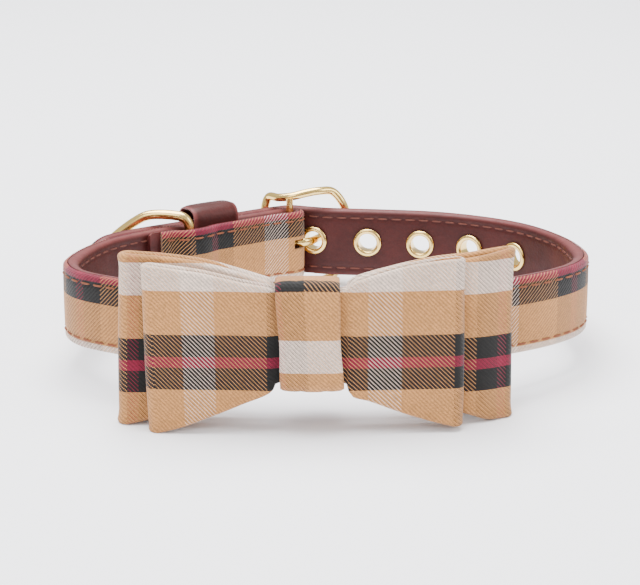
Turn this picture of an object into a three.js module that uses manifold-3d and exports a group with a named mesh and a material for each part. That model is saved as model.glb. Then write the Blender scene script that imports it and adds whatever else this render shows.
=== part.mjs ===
// A pet collar with a bow tie, buckled shut and standing on a table.
// Millimetres, +Z up. The bow faces -Y, the buckle is at the back, +X is to the right of the bow.
// The collar is drawn level, with z = 0 at the row of eyelets, and is then tipped back
// so that it stands on the bow's lower corners and on the bottom of the buckle.
import * as THREE from "three";
import { mergeVertices } from "three/addons/utils/BufferGeometryUtils.js";
import Module from "manifold-3d";

const wasm = await Module();
wasm.setup();

// Strap: a cloth cover outside and a leather lining inside, sewn together along their edges.
const STRAP_WIDTH = 21.8;
const STRAP_MIDDLE = -0.5; // below the row of eyelets
const COVER_THICK = 1.2;
const LINING_THIN = 1.75; // where the strap folds, buckles and has its holes
const LINING_PADDED = 3.0; // round the front and the sides
const SKIN_GAP = 0.3;
const CLEAR = 0.3;
const HALF_WIDTH = STRAP_WIDTH / 2;
const HALF_GAP = SKIN_GAP / 2;
const COVER_FACE = HALF_GAP + COVER_THICK;
const COVER_CREST = HALF_GAP + 0.3 * COVER_THICK;
const LINING_FACE = HALF_GAP + LINING_THIN;

// Strap seen from above: the line between cover and lining, from the buckle's bar round the neck
// and back to the buckle. It starts straight, with the flap folded back inside it.
const BACK_ANGLE = THREE.MathUtils.degToRad(36);
const BUCKLE_BAR = { x: -11.2, y: 63.4, radius: 1.1 };
const FOLD_INNER = BUCKLE_BAR.radius + 0.2;
const FOLD_LINE = FOLD_INNER + LINING_FACE;
const STRAP_PLAN = [
  { x: -55.2, y: 34.6 },
  { x: -63.4, y: 26.0 },
  { x: -69.5, y: 15.4 },
  { x: -72.7, y: 5.0 },
  { x: -73.2, y: -3.5 },
  { x: -69.0, y: -12.6 },
  { x: -56.4, y: -21.6 },
  { x: -40.0, y: -29.4 },
  { x: -21.0, y: -34.6 },
  { x: -2.0, y: -36.0 },
  { x: 18.0, y: -33.8 },
  { x: 36.0, y: -28.2 },
  { x: 51.2, y: -20.6 },
  { x: 63.4, y: -12.2 },
  { x: 71.2, y: -3.6 },
  { x: 74.5, y: 5.0 },
  { x: 74.2, y: 15.0 },
  { x: 70.2, y: 29.0 },
  { x: 61.0, y: 44.6 },
  { x: 48.6, y: 54.6 },
  { x: 34.5, y: 61.0 },
  { x: 18.5, y: 64.0 },
  { x: 8.0, y: 65.4 },
  { x: 1.0, y: 66.4 },
  { x: -5.4, y: 68.5 },
  { x: -11.2, y: 70.3 },
];
// The tail runs on past the bar, outside the strap, to a rounded tip.
const TAIL_POINT = 13;
const TAIL_STANDOFF = [
  { along: 4, gap: 0.5 },
  { along: 20, gap: 0.3 },
  { along: 37, gap: 0.3 },
  { along: 56, gap: 0.8 },
  { along: 74, gap: 1.8 },
];
const FLAP_LENGTH = 53;
const FLAP_STANDOFF = [
  { along: 0, gap: 2 * FOLD_INNER },
  { along: 9, gap: 1.5 },
  { along: 20, gap: 2.0 },
  { along: 29, gap: 2.1 },
  { along: 36, gap: 3.8 },
  { along: 40, gap: 3.8 },
  { along: 47, gap: 1.1 },
  { along: 53, gap: 0.4 },
];
const PADDING = [
  { along: 60, thick: LINING_THIN },
  { along: 90, thick: LINING_PADDED },
  { along: 275, thick: LINING_PADDED },
  { along: 298, thick: LINING_THIN },
];
const STRAP_STEP = 4.6;

// Eyelets: one row along the strap's middle, the first one on the prong.
const EYELETS = { count: 5, spacing: 17, firstX: -2.75, hole: 2.9, rim: 4.5, flange: 0.6, wall: 0.45 };
const EYELET_CLEAR = 0.45; // the strap is curved and the rims are flat
const EYELET_SIDES = 14;

// Buckle: a cast frame with a centre bar. along runs to +X and out runs to +Y, from the bar.
const FRAME_WIRE = 1.3;
const FRAME_RAISED = 0.9; // the strap lies low in the frame
const FRAME_LEAN = { from: 5.0, rise: 0.07 }; // the frame's right side sits a little higher
const FRAME_HALF = [
  { along: -8.2, high: 4.0, out: 5.9 },
  { along: -8.1, high: 9.6, out: 6.0 },
  { along: -6.8, high: 13.2, out: 6.1 },
  { along: -3.6, high: 13.5, out: 2.9 },
  { along: 0.6, high: 13.9, out: 1.2 },
  { along: 5.0, high: 14.6, out: 1.5 },
  { along: 9.4, high: 14.75, out: 2.8 },
  { along: 13.6, high: 13.8, out: 5.0 },
  { along: 16.9, high: 9.6, out: 5.4 },
  { along: 18.4, high: 4.2, out: 5.5 },
];
const PRONG_WIRE = 0.95;
const PRONG_LOOP = { inner: 1.4, outer: 2.3, high: 2.2 };
const PRONG_LINE = [
  { x: -9.4, y: 62.9 },
  { x: -6.8, y: 62.7 },
  { x: -4.7, y: 64.2 },
  { x: -3.0, y: 67.0 },
  { x: -1.5, y: 69.8 },
  { x: 1.4, y: 71.4 },
  { x: 7.2, y: 71.7 },
  { x: 10.2, y: 70.9 },
];
const PRONG_SLOT = { radius: 4.8, high: 3.0 };

// Keeper loop: a leather band round the strap and its tail, held under the flap.
const KEEPER = { from: 19.5, to: 35.5, thick: 1.3, low: -11.7, high: 14.0, corner: 3.0 };

// D-ring: bar, two arms, two slanted sides and a short crown. along runs away from the bar.
const RING_WIRE = 1.5;
const RING_BAR_ALONG = 38;
const RING_RAISED = -0.4;
const RING_ANGLE = THREE.MathUtils.degToRad(42); // away from the strap, resting on the tail
const RING_HALF = [
  { along: 0, high: 3.0 },
  { along: 0, high: 11.2 },
  { along: 1.4, high: 13.4 },
  { along: 4.5, high: 14.2 },
  { along: 12.6, high: 14.0 },
  { along: 17.0, high: 11.8 },
  { along: 24.2, high: 6.0 },
  { along: 26.6, high: 2.6 },
];

// Bow: two flattened cloth loops, one behind the other. front and back are the middles of the two
// walls, low and high their edges.
const CLOTH = 1.4;
const FRONT_LOOP = [
  { x: -46.6, front: -46.2, back: -42.6, low: -25.8, high: 20.5 },
  { x: -40.0, front: -46.6, back: -42.7, low: -24.1, high: 19.6 },
  { x: -33.0, front: -46.8, back: -42.9, low: -22.0, high: 18.6 },
  { x: -22.2, front: -47.3, back: -43.6, low: -18.1, high: 16.2 },
  { x: -14.6, front: -47.8, back: -44.6, low: -14.8, high: 14.9 },
  { x: -13.3, front: -47.3, back: -44.6, low: -11.5, high: 14.2 },
  { x: 5.4, front: -47.3, back: -44.6, low: -11.5, high: 14.2 },
  { x: 6.8, front: -47.8, back: -44.6, low: -14.8, high: 16.0 },
  { x: 11.5, front: -47.4, back: -43.9, low: -16.4, high: 17.8 },
  { x: 20.6, front: -46.7, back: -43.1, low: -20.0, high: 20.3 },
  { x: 28.5, front: -46.1, back: -42.7, low: -22.6, high: 21.0 },
  { x: 34.4, front: -45.6, back: -42.5, low: -24.2, high: 21.0 },
];
const REAR_LOOP = [
  { x: -53.6, front: -40.8, back: -37.2, low: -25.2, high: 22.4 },
  { x: -42.0, front: -40.8, back: -37.0, low: -22.4, high: 21.4 },
  { x: -32.0, front: -41.0, back: -37.1, low: -19.6, high: 19.9 },
  { x: -17.6, front: -42.0, back: -38.0, low: -15.4, high: 16.0 },
  { x: -14.6, front: -42.5, back: -38.4, low: -14.0, high: 15.0 },
  { x: -13.6, front: -42.7, back: -38.8, low: -10.9, high: 13.0 },
  { x: 5.4, front: -42.7, back: -38.8, low: -10.9, high: 13.0 },
  { x: 6.8, front: -42.5, back: -38.2, low: -14.0, high: 15.0 },
  { x: 18.0, front: -41.4, back: -36.8, low: -17.0, high: 18.2 },
  { x: 29.0, front: -40.8, back: -35.6, low: -19.9, high: 20.4 },
  { x: 37.5, front: -40.2, back: -34.0, low: -22.2, high: 21.0 },
  { x: 43.5, front: -38.6, back: -33.0, low: -24.4, high: 21.8 },
  { x: 48.0, front: -36.2, back: -33.0, low: -24.8, high: 22.6 },
];
const FOLD_STEPS = 5;
const KNOT = { left: -12.7, right: 4.3, lean: 0.045, thick: 1.4 };
const KNOT_PROFILE = [
  { y: -49.0, z: 13.9 },
  { y: -47.6, z: 15.4 },
  { y: -40.4, z: 15.5 },
  { y: -32.1, z: 11.6 },
  { y: -31.2, z: 10.4 },
  { y: -31.2, z: -11.6 },
  { y: -32.4, z: -12.6 },
  { y: -42.0, z: -13.2 },
  { y: -47.8, z: -12.6 },
  { y: -49.0, z: -11.4 },
];

const TIP_BACK = THREE.MathUtils.degToRad(5.4);

const cloth = new THREE.MeshStandardMaterial({ color: 0xc8a06e, roughness: 0.9, metalness: 0 });
const leather = new THREE.MeshStandardMaterial({ color: 0x6a3a35, roughness: 0.6, metalness: 0 });
const brass = new THREE.MeshStandardMaterial({ color: 0xd9bd7a, roughness: 0.25, metalness: 1 });

const flat = (x, y) => new THREE.Vector2(x, y);
const rightOf = (heading) => flat(heading.y, -heading.x);
const shifted = (point, side, distance) => point.clone().addScaledVector(side, distance);

// The value of a table's column at a place between its rows.
function read(table, key, column, place) {
  const next = table.findIndex((row) => row[key] > place);
  if (next === 0) return table[0][column];
  if (next < 0) return table[table.length - 1][column];
  const low = table[next - 1];
  const high = table[next];
  const share = (place - low[key]) / (high[key] - low[key]);
  return THREE.MathUtils.lerp(low[column], high[column], share);
}

// A closed surface through rings of equal length, its ends capped unless the rings close on themselves.
function loft(rings, closed) {
  const size = rings[0].length;
  const faces = [];
  const spans = closed ? rings.length : rings.length - 1;
  for (let i = 0; i < spans; i++) {
    const here = i * size;
    const there = ((i + 1) % rings.length) * size;
    for (let j = 0; j < size; j++) {
      const k = (j + 1) % size;
      faces.push(here + j, there + j, there + k, here + j, there + k, here + k);
    }
  }
  if (!closed) {
    const last = (rings.length - 1) * size;
    for (let j = 1; j < size - 1; j++) {
      faces.push(0, j, j + 1);
      faces.push(last, last + j + 1, last + j);
    }
  }
  const geometry = new THREE.BufferGeometry().setFromPoints(rings.flat());
  geometry.setIndex(faces);
  return geometry;
}

// A geometry as a solid, turned right side out.
function solidOf(geometry) {
  const bare = geometry.clone();
  bare.deleteAttribute("normal");
  bare.deleteAttribute("uv");
  const merged = mergeVertices(bare, 1e-4);
  const vertProperties = new Float32Array(merged.attributes.position.array);
  const triVerts = new Uint32Array(merged.index.array);
  const make = () => new wasm.Manifold(new wasm.Mesh({ numProp: 3, vertProperties, triVerts }));
  const solid = make();
  if (solid.volume() > 0) return solid;
  for (let i = 0; i < triVerts.length; i += 3) triVerts.subarray(i + 1, i + 3).reverse();
  return make();
}

function geometryOf(solid) {
  const mesh = solid.getMesh();
  const geometry = new THREE.BufferGeometry();
  geometry.setAttribute("position", new THREE.BufferAttribute(mesh.vertProperties, 3));
  geometry.setIndex(new THREE.BufferAttribute(mesh.triVerts, 1));
  return geometry;
}

// The outline of a thin wall cut across: two faces and a rounded edge at each end.
function wallSection(faceA, faceB, low, high, crest, drop) {
  return [
    [faceA, low + drop],
    [faceA, high - drop],
    [crest, high],
    [faceB, high - drop],
    [faceB, low + drop],
    [crest, low],
  ];
}

// Headings along a line of points, by the points either side.
function headings(points, closed) {
  const count = points.length;
  return points.map((point, i) => {
    const before = closed ? points[(i + count - 1) % count] : points[Math.max(i - 1, 0)];
    const after = closed ? points[(i + 1) % count] : points[Math.min(i + 1, count - 1)];
    return after.clone().sub(before).normalize();
  });
}

// A wall along a flat line. sectionAt gives its outline at a station, and place puts a point of the
// line's plane, at a height over that plane, into the collar.
function wall(points, closed, sectionAt, place) {
  const ways = headings(points, closed);
  const rings = points.map((point, i) => {
    const right = rightOf(ways[i]);
    return sectionAt(i, point).map(([across, up]) => place(shifted(point, right, across), up));
  });
  return solidOf(loft(rings, closed));
}

const standing = (point, up) => new THREE.Vector3(point.x, point.y, up);

// The strap's line

const backHeading = flat(-Math.cos(BACK_ANGLE), -Math.sin(BACK_ANGLE));
const backOutward = rightOf(backHeading);
const barCentre = flat(BUCKLE_BAR.x, BUCKLE_BAR.y);
const lineStart = shifted(barCentre, backOutward, FOLD_LINE);

function curveThrough(points) {
  const curve = new THREE.CatmullRomCurve3(points.map((point) => standing(point, 0)));
  curve.arcLengthDivisions = 1200;
  return curve;
}

function stationOn(curve, along) {
  const share = THREE.MathUtils.clamp(along / curve.getLength(), 0, 1);
  const point = curve.getPointAt(share);
  const heading = curve.getTangentAt(share);
  return { point: flat(point.x, point.y), right: rightOf(flat(heading.x, heading.y)) };
}

const backStretch = [0, 9, 18, 27, 36, 44].map((along) => shifted(lineStart, backHeading, along));
const neckPoints = [...backStretch, ...STRAP_PLAN.map((row) => flat(row.x, row.y))];
const neckCurve = curveThrough(neckPoints);

function tailPoint(along) {
  const { point, right } = stationOn(neckCurve, along);
  const gap = read(TAIL_STANDOFF, "along", "gap", along);
  return shifted(point, right, COVER_FACE + gap + LINING_FACE);
}

const tailPoints = TAIL_STANDOFF.map((row) => tailPoint(row.along));
const strapCurve = curveThrough([...neckPoints, ...tailPoints]);
const strapLength = strapCurve.getLength();

function flapPoint(along) {
  const { point, right } = stationOn(neckCurve, along);
  const gap = read(FLAP_STANDOFF, "along", "gap", along);
  return shifted(point, right, -2 * LINING_FACE - gap);
}

// Stations of the whole band, from the flap's cut end to the tail's tip.
function bandStations() {
  const stations = [];
  const flapSteps = Math.round(FLAP_LENGTH / STRAP_STEP);
  for (let i = flapSteps; i > 0; i--) {
    stations.push({ point: flapPoint((i * FLAP_LENGTH) / flapSteps), thick: LINING_THIN, half: HALF_WIDTH });
  }
  const turnSteps = 8;
  for (let i = 0; i <= turnSteps; i++) {
    const angle = BACK_ANGLE - Math.PI / 2 + (Math.PI * i) / turnSteps;
    const side = flat(Math.cos(angle), Math.sin(angle));
    stations.push({ point: shifted(barCentre, side, FOLD_LINE), thick: LINING_THIN, half: HALF_WIDTH });
  }
  const runSteps = Math.round(strapLength / STRAP_STEP);
  for (let i = 1; i <= runSteps; i++) {
    const along = (i * strapLength) / runSteps;
    const intoTip = Math.max(0, along - strapLength + TAIL_POINT) / TAIL_POINT;
    stations.push({
      point: stationOn(strapCurve, along).point,
      thick: read(PADDING, "along", "thick", along),
      half: HALF_WIDTH * Math.max(0.25, Math.sqrt(1 - intoTip * intoTip)),
    });
  }
  return stations;
}

const band = bandStations();
const bandLine = band.map((station) => station.point);

function coverSolid() {
  const sectionAt = (i) => {
    const half = band[i].half;
    return wallSection(COVER_FACE, HALF_GAP, STRAP_MIDDLE - half, STRAP_MIDDLE + half, COVER_CREST, 0.55);
  };
  return wall(bandLine, false, sectionAt, standing);
}

function liningSolid() {
  const sectionAt = (i) => {
    const { half, thick } = band[i];
    const crest = -HALF_GAP - 0.45 * thick;
    return wallSection(-HALF_GAP, -HALF_GAP - thick, STRAP_MIDDLE - half, STRAP_MIDDLE + half, crest, 0.6);
  };
  return wall(bandLine, false, sectionAt, standing);
}

// Eyelets

function alongAtX(curve, x, from) {
  let best = from;
  for (let along = from; along < curve.getLength(); along += 0.25) {
    const here = Math.abs(stationOn(curve, along).point.x - x);
    if (here < Math.abs(stationOn(curve, best).point.x - x)) best = along;
    if (stationOn(curve, along).point.x < x) break;
  }
  return best;
}

const BACK_RUN = 330; // the eyelets lie past this length of the strap
const firstEyeletAlong = alongAtX(strapCurve, EYELETS.firstX, BACK_RUN);

function eyeletPlace(index) {
  const { point, right } = stationOn(strapCurve, firstEyeletAlong - index * EYELETS.spacing);
  return { position: standing(point, 0), turn: Math.atan2(right.y, right.x) - Math.PI / 2 };
}

function eyeletGeometry() {
  const { hole, rim, flange, wall: barrel } = EYELETS;
  const outer = COVER_FACE + EYELET_CLEAR;
  const inner = -LINING_FACE - EYELET_CLEAR;
  const soft = 0.25;
  const profile = [
    flat(hole, inner - flange + soft),
    flat(hole + soft, inner - flange),
    flat(rim - soft, inner - flange + 0.1),
    flat(rim, inner),
    flat(hole + barrel, inner),
    flat(hole + barrel, outer),
    flat(rim, outer),
    flat(rim - soft, outer + flange - 0.1),
    flat(hole + soft, outer + flange),
    flat(hole, outer + flange - soft),
    flat(hole, inner - flange + soft),
  ];
  return new THREE.LatheGeometry(profile, EYELET_SIDES);
}

function eyeletHole({ position, turn }) {
  const radius = EYELETS.hole + EYELETS.wall + CLEAR;
  const drill = new THREE.CylinderGeometry(radius, radius, 9, EYELET_SIDES);
  drill.rotateZ(turn).translate(position.x, position.y, position.z);
  return solidOf(drill);
}

function prongSlot() {
  const cutter = new THREE.CylinderGeometry(PRONG_SLOT.radius, PRONG_SLOT.radius, PRONG_SLOT.high, 24);
  cutter.rotateX(Math.PI / 2).translate(BUCKLE_BAR.x, BUCKLE_BAR.y, 0);
  return solidOf(cutter);
}

const eyeletPlaces = Array.from({ length: EYELETS.count }, (_, index) => eyeletPlace(index));

function withOpenings(solid) {
  const drilled = eyeletPlaces.reduce((left, place) => left.subtract(eyeletHole(place)), solid);
  return drilled.subtract(prongSlot());
}

// Round wire bent into a closed ring

function wireRing(points, radius, steps, sides) {
  const curve = new THREE.CatmullRomCurve3(points, true);
  const frames = curve.computeFrenetFrames(steps, true);
  const rings = [];
  for (let i = 0; i < steps; i++) {
    const centre = curve.getPointAt(i / steps);
    const ring = [];
    for (let j = 0; j < sides; j++) {
      const angle = (2 * Math.PI * (j + 0.5)) / sides;
      const spot = centre.clone().addScaledVector(frames.normals[i], radius * Math.cos(angle));
      ring.push(spot.addScaledVector(frames.binormals[i], radius * Math.sin(angle)));
    }
    rings.push(ring);
  }
  return solidOf(loft(rings, true));
}

function mirrored(rows, place) {
  const lower = [...rows].reverse().map((row) => place(row, -row.high));
  return [...rows.map((row) => place(row, row.high)), ...lower];
}

function buckleSolid() {
  const raised = (along) => FRAME_RAISED + FRAME_LEAN.rise * (along - FRAME_LEAN.from);
  const place = (row, high) =>
    new THREE.Vector3(BUCKLE_BAR.x + row.along, BUCKLE_BAR.y + row.out, raised(row.along) + high);
  const frame = wireRing(mirrored(FRAME_HALF, place), FRAME_WIRE, 56, 8);
  const reach = 2 * read(FRAME_HALF, "along", "high", 0);
  const bar = new THREE.CylinderGeometry(BUCKLE_BAR.radius, BUCKLE_BAR.radius, reach, 12);
  bar.rotateX(Math.PI / 2).translate(BUCKLE_BAR.x, BUCKLE_BAR.y, raised(0));
  return frame.add(solidOf(bar));
}

function prongSolid() {
  const loop = new THREE.Shape().absarc(0, 0, PRONG_LOOP.outer, 0, 2 * Math.PI, false);
  loop.holes.push(new THREE.Path().absarc(0, 0, PRONG_LOOP.inner, 0, 2 * Math.PI, true));
  const ring = new THREE.ExtrudeGeometry(loop, { depth: PRONG_LOOP.high, bevelEnabled: false, curveSegments: 16 });
  ring.translate(BUCKLE_BAR.x, BUCKLE_BAR.y, -PRONG_LOOP.high / 2);
  const line = new THREE.CatmullRomCurve3(PRONG_LINE.map((row) => new THREE.Vector3(row.x, row.y, 0)));
  const wire = new THREE.Shape().absarc(0, 0, PRONG_WIRE, 0, 2 * Math.PI, false);
  const tongue = new THREE.ExtrudeGeometry(wire, { extrudePath: line, steps: 20, curveSegments: 8 });
  return solidOf(ring).add(solidOf(tongue));
}

// Keeper loop: a rounded rectangle round the strap and the tail, cut square to the strap.
function keeperSolid() {
  const { point, right } = stationOn(neckCurve, (KEEPER.from + KEEPER.to) / 2);
  const heading = flat(-right.y, right.x);
  const tail = COVER_FACE + CLEAR + LINING_FACE + COVER_FACE;
  const reach = KEEPER.thick / 2 + CLEAR;
  const lowSide = -LINING_FACE - reach;
  const highSide = tail + reach;
  const low = KEEPER.low - KEEPER.thick / 2;
  const high = KEEPER.high + KEEPER.thick / 2;
  const corners = [
    { across: highSide - KEEPER.corner, up: high - KEEPER.corner, from: 0 },
    { across: lowSide + KEEPER.corner, up: high - KEEPER.corner, from: 90 },
    { across: lowSide + 1, up: low + 1, from: 180 },
    { across: highSide - 1, up: low + 1, from: 270 },
  ];
  const line = corners.flatMap(({ across, up, from }) => {
    const radius = from < 180 ? KEEPER.corner : 1;
    return [0, 22.5, 45, 67.5, 90].map((step) => {
      const angle = THREE.MathUtils.degToRad(from + step);
      return flat(across + radius * Math.cos(angle), up + radius * Math.sin(angle));
    });
  });
  const half = (KEEPER.to - KEEPER.from) / 2;
  const sectionAt = () => wallSection(KEEPER.thick / 2, -KEEPER.thick / 2, -half, half, 0, 0.35);
  const place = (spot, along) => {
    const plan = shifted(shifted(point, right, spot.x), heading, along);
    return standing(plan, spot.y);
  };
  return wall(line, true, sectionAt, place);
}

// D-ring

const ringStation = stationOn(neckCurve, RING_BAR_ALONG);
const ringBar = shifted(ringStation.point, ringStation.right, -LINING_FACE - 1.9);

function ringSolid() {
  const away = backHeading.clone().rotateAround(flat(0, 0), -RING_ANGLE);
  const place = (row, high) => {
    const plan = shifted(ringBar, away, row.along);
    return standing(plan, RING_RAISED + high);
  };
  return wireRing(mirrored(RING_HALF, place), RING_WIRE, 52, 8);
}

// Bow

// The closed line of a flattened loop: along the front wall, round one end, back and round the other.
function loopLine(rows) {
  const stations = rows.map((row) => ({ row, point: flat(row.x, row.front) }));
  const bend = (row, sign) => {
    const radius = (row.back - row.front) / 2;
    for (let i = 1; i < FOLD_STEPS; i++) {
      const angle = (Math.PI * i) / FOLD_STEPS;
      const swing = sign > 0 ? -Math.cos(angle) : Math.cos(angle);
      const point = flat(row.x + sign * radius * Math.sin(angle), row.front + radius * (1 + swing));
      stations.push({ row, point });
    }
  };
  bend(rows[rows.length - 1], 1);
  for (const row of [...rows].reverse()) stations.push({ row, point: flat(row.x, row.back) });
  bend(rows[0], -1);
  return stations;
}

function bowLoop(rows) {
  const stations = loopLine(rows);
  const sectionAt = (i) => wallSection(CLOTH / 2, -CLOTH / 2, stations[i].row.low, stations[i].row.high, 0, 0.4);
  return wall(stations.map((station) => station.point), true, sectionAt, standing);
}

function knotSolid() {
  const line = KNOT_PROFILE.map((row) => flat(row.y, row.z));
  const sectionAt = (i, point) => {
    const lean = -KNOT.lean * point.y;
    return wallSection(KNOT.thick / 2, -KNOT.thick / 2, KNOT.left + lean, KNOT.right + lean, 0, 0.4);
  };
  return wall(line, true, sectionAt, (point, across) => new THREE.Vector3(across, point.x, point.y));
}

// Everything above, level; then tipped back and set down

const tip = new THREE.Matrix4().makeRotationX(-TIP_BACK);

function lowestPoint(solid) {
  const geometry = geometryOf(solid).applyMatrix4(tip);
  geometry.computeBoundingBox();
  return geometry.boundingBox.min.z;
}

const buckle = buckleSolid();
const tableLevel = lowestPoint(buckle);

// Cloth that would reach under the table is pressed flat on it.
function pressedFlat(solid) {
  const block = new THREE.BoxGeometry(220, 60, 20).translate(0, -40, tableLevel - 10);
  return solid.subtract(solidOf(block.applyMatrix4(tip.clone().invert())));
}

function piece(name, geometry, material) {
  const mesh = new THREE.Mesh(geometry, material);
  mesh.name = name;
  return mesh;
}

const level = new THREE.Group();
level.add(piece("strap_cover", geometryOf(withOpenings(coverSolid())), cloth));
level.add(piece("strap_lining", geometryOf(withOpenings(liningSolid())), leather));
eyeletPlaces.forEach(({ position, turn }, index) => {
  const eyelet = piece(`eyelet_${index + 1}`, geometryOf(solidOf(eyeletGeometry())), brass);
  eyelet.position.copy(position);
  eyelet.rotation.z = turn;
  level.add(eyelet);
});
level.add(piece("buckle_frame", geometryOf(buckle), brass));
level.add(piece("buckle_prong", geometryOf(prongSolid()), brass));
level.add(piece("keeper_loop", geometryOf(keeperSolid()), leather));
level.add(piece("d_ring", geometryOf(ringSolid()), brass));
level.add(piece("bow_rear", geometryOf(pressedFlat(bowLoop(REAR_LOOP))), cloth));
level.add(piece("bow_front", geometryOf(pressedFlat(bowLoop(FRONT_LOOP))), cloth));
level.add(piece("bow_knot", geometryOf(knotSolid()), cloth));

level.rotation.x = -TIP_BACK;
level.updateMatrixWorld(true);
const extent = new THREE.Box3().setFromObject(level, true);
const middle = extent.getCenter(new THREE.Vector3());
level.position.set(-middle.x, -middle.y, -tableLevel);

const group = new THREE.Group();
group.add(level);

export default group;
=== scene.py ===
"""A pet collar with a bow tie, dressed round its solids.

Sizes in the classes are millimetres in the collar's level frame: z = 0 at the row of eyelets, +Y from
the bow to the buckle, +X to the right of the bow. The collar is then tipped back and set on the
table, and everything becomes metres in the part's own frame.
"""

import logging
import math
from dataclasses import dataclass, field
from enum import Enum

import bpy
import numpy as np
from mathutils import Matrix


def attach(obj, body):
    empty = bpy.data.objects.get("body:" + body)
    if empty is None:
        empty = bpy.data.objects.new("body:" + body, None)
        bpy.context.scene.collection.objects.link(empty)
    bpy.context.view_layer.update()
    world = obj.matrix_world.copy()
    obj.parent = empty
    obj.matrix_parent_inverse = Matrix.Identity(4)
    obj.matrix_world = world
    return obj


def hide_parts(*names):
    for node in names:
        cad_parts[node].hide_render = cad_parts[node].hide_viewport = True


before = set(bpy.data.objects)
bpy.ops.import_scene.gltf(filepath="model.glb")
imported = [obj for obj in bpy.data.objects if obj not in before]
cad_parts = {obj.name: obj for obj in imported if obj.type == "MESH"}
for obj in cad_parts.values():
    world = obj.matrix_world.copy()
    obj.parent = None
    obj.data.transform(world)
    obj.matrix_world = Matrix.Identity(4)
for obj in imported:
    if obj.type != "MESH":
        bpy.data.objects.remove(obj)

LOG = logging.getLogger("bow_collar")
TAU = 2 * math.pi
MM_PER_METRE = 1000
BODY = "collar"
CLOTH_UV = "cloth"
RIM = "rim"


class Slot(Enum):
    """The record's material slots."""

    CLOTH = "plaid_cloth"
    LEATHER = "brown_leather"
    METAL = "gold_metal"


class Face(Enum):
    """The two faces of the strap that its stitches show on."""

    OUTER = 1
    INNER = -1


# Lines and tables


def rows_of(*rows: tuple[float, ...]) -> np.ndarray:
    """A table of numbers as an array, one row for each tuple."""
    return np.array(rows, float)


def eased(rows: np.ndarray, at: np.ndarray) -> np.ndarray:
    """Reads a table with a smooth step from each row to the next.

    Args:
        rows: two columns, the place and the value.
        at: the places to read.

    Returns:
        The values, a + (b - a) * (3 s^2 - 2 s^3) at a share s of the way between two rows.
    """
    low = np.clip(np.searchsorted(rows[:, 0], at, side="right") - 1, 0, len(rows) - 2)
    share = np.clip((at - rows[low, 0]) / (rows[low + 1, 0] - rows[low, 0]), 0, 1)
    share = share * share * (3 - 2 * share)
    return rows[low, 1] + (rows[low + 1, 1] - rows[low, 1]) * share


def smooth_line(points: np.ndarray, closed: bool = False, steps: int = 24) -> np.ndarray:
    """A centripetal Catmull-Rom line through points.

    Each span is a cubic Hermite whose end slopes come from the three chords round it, each weighted
    by the square root of its length.

    Args:
        points: the points, one row each, in any number of dimensions.
        closed: whether the line runs back to its first point.
        steps: samples in each span.

    Returns:
        The sampled line. An open one includes its last point, and a closed one doesn't repeat its first.
    """
    if closed:
        padded = np.concatenate([points[-1:], points, points[:2]])
    else:
        padded = np.concatenate([2 * points[:1] - points[1:2], points, 2 * points[-1:] - points[-2:-1]])
    before, start, end, after = padded[:-3], padded[1:-2], padded[2:-1], padded[3:]
    first, second, third = (
        np.linalg.norm(b - a, axis=1, keepdims=True) ** 0.5
        for a, b in ((before, start), (start, end), (end, after))
    )
    leave = ((start - before) / first - (end - before) / (first + second)) * second + (end - start)
    arrive = ((after - end) / third - (after - start) / (second + third)) * second + (end - start)
    t = (np.arange(steps) / steps)[None, :, None]
    line = (
        (2 * t**3 - 3 * t**2 + 1) * start[:, None]
        + (t**3 - 2 * t**2 + t) * leave[:, None]
        + (3 * t**2 - 2 * t**3) * end[:, None]
        + (t**3 - t**2) * arrive[:, None]
    ).reshape(-1, points.shape[1])
    return line if closed else np.concatenate([line, points[-1:]])


@dataclass
class Line:
    """A densely sampled line, read by the length along it."""

    points: np.ndarray
    along: np.ndarray = field(init=False)

    def __post_init__(self) -> None:
        """Adds up the lengths of the line's steps."""
        steps = np.linalg.norm(np.diff(self.points, axis=0), axis=1)
        self.along = np.concatenate([[0.0], np.cumsum(steps)])

    @property
    def length(self) -> float:
        """The line's whole length."""
        return float(self.along[-1])

    def at(self, along: np.ndarray) -> np.ndarray:
        """The points at those lengths along the line."""
        columns = [np.interp(along, self.along, column) for column in self.points.T]
        return np.stack(columns, axis=-1)

    def heading(self, along: np.ndarray, reach: float = 0.5) -> np.ndarray:
        """The unit directions of the line at those lengths, measured over a short reach."""
        ahead = self.at(along + reach) - self.at(along - reach)
        return ahead / np.linalg.norm(ahead, axis=-1, keepdims=True)

    def right(self, along: np.ndarray) -> np.ndarray:
        """The unit directions to the right of a flat line at those lengths."""
        ahead = self.heading(along)
        return np.stack([ahead[..., 1], -ahead[..., 0]], axis=-1)


@dataclass(frozen=True)
class Standing:
    """How the level collar is tipped back and set down."""

    tip_deg: float = 5.4
    shift: tuple[float, float, float] = (-0.7291, -10.9333, 21.1355)
    lowest: float = 0.00002

    def place(self, level: np.ndarray) -> np.ndarray:
        """Turns level points about X by the tip and moves them on to the table.

        Args:
            level: points in millimetres, three numbers each.

        Returns:
            The same points in metres, in the part's frame, none of them under the table.
        """
        angle = math.radians(self.tip_deg)
        x, y, z = level[..., 0], level[..., 1], level[..., 2]
        cos, sin = math.cos(angle), math.sin(angle)
        turned = np.stack([x, y * cos + z * sin, z * cos - y * sin], axis=-1)
        placed = (turned + np.array(self.shift)) / MM_PER_METRE
        placed[..., 2] = np.maximum(placed[..., 2], self.lowest)
        return placed


STANDING = Standing()


# Meshes


def swept(points: np.ndarray, right: np.ndarray, across: np.ndarray, up: np.ndarray) -> np.ndarray:
    """A section carried along a flat line: the point plus right times across, at the height up.

    Args:
        points: the line's n points, in the plan.
        right: the n unit directions to the line's right.
        across: n by m distances to the right.
        up: n by m heights.

    Returns:
        An n by m grid of level points.
    """
    plan = points[:, None] + right[:, None] * across[..., None]
    return np.concatenate([plan, np.broadcast_to(up, across.shape)[..., None]], axis=-1)


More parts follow.
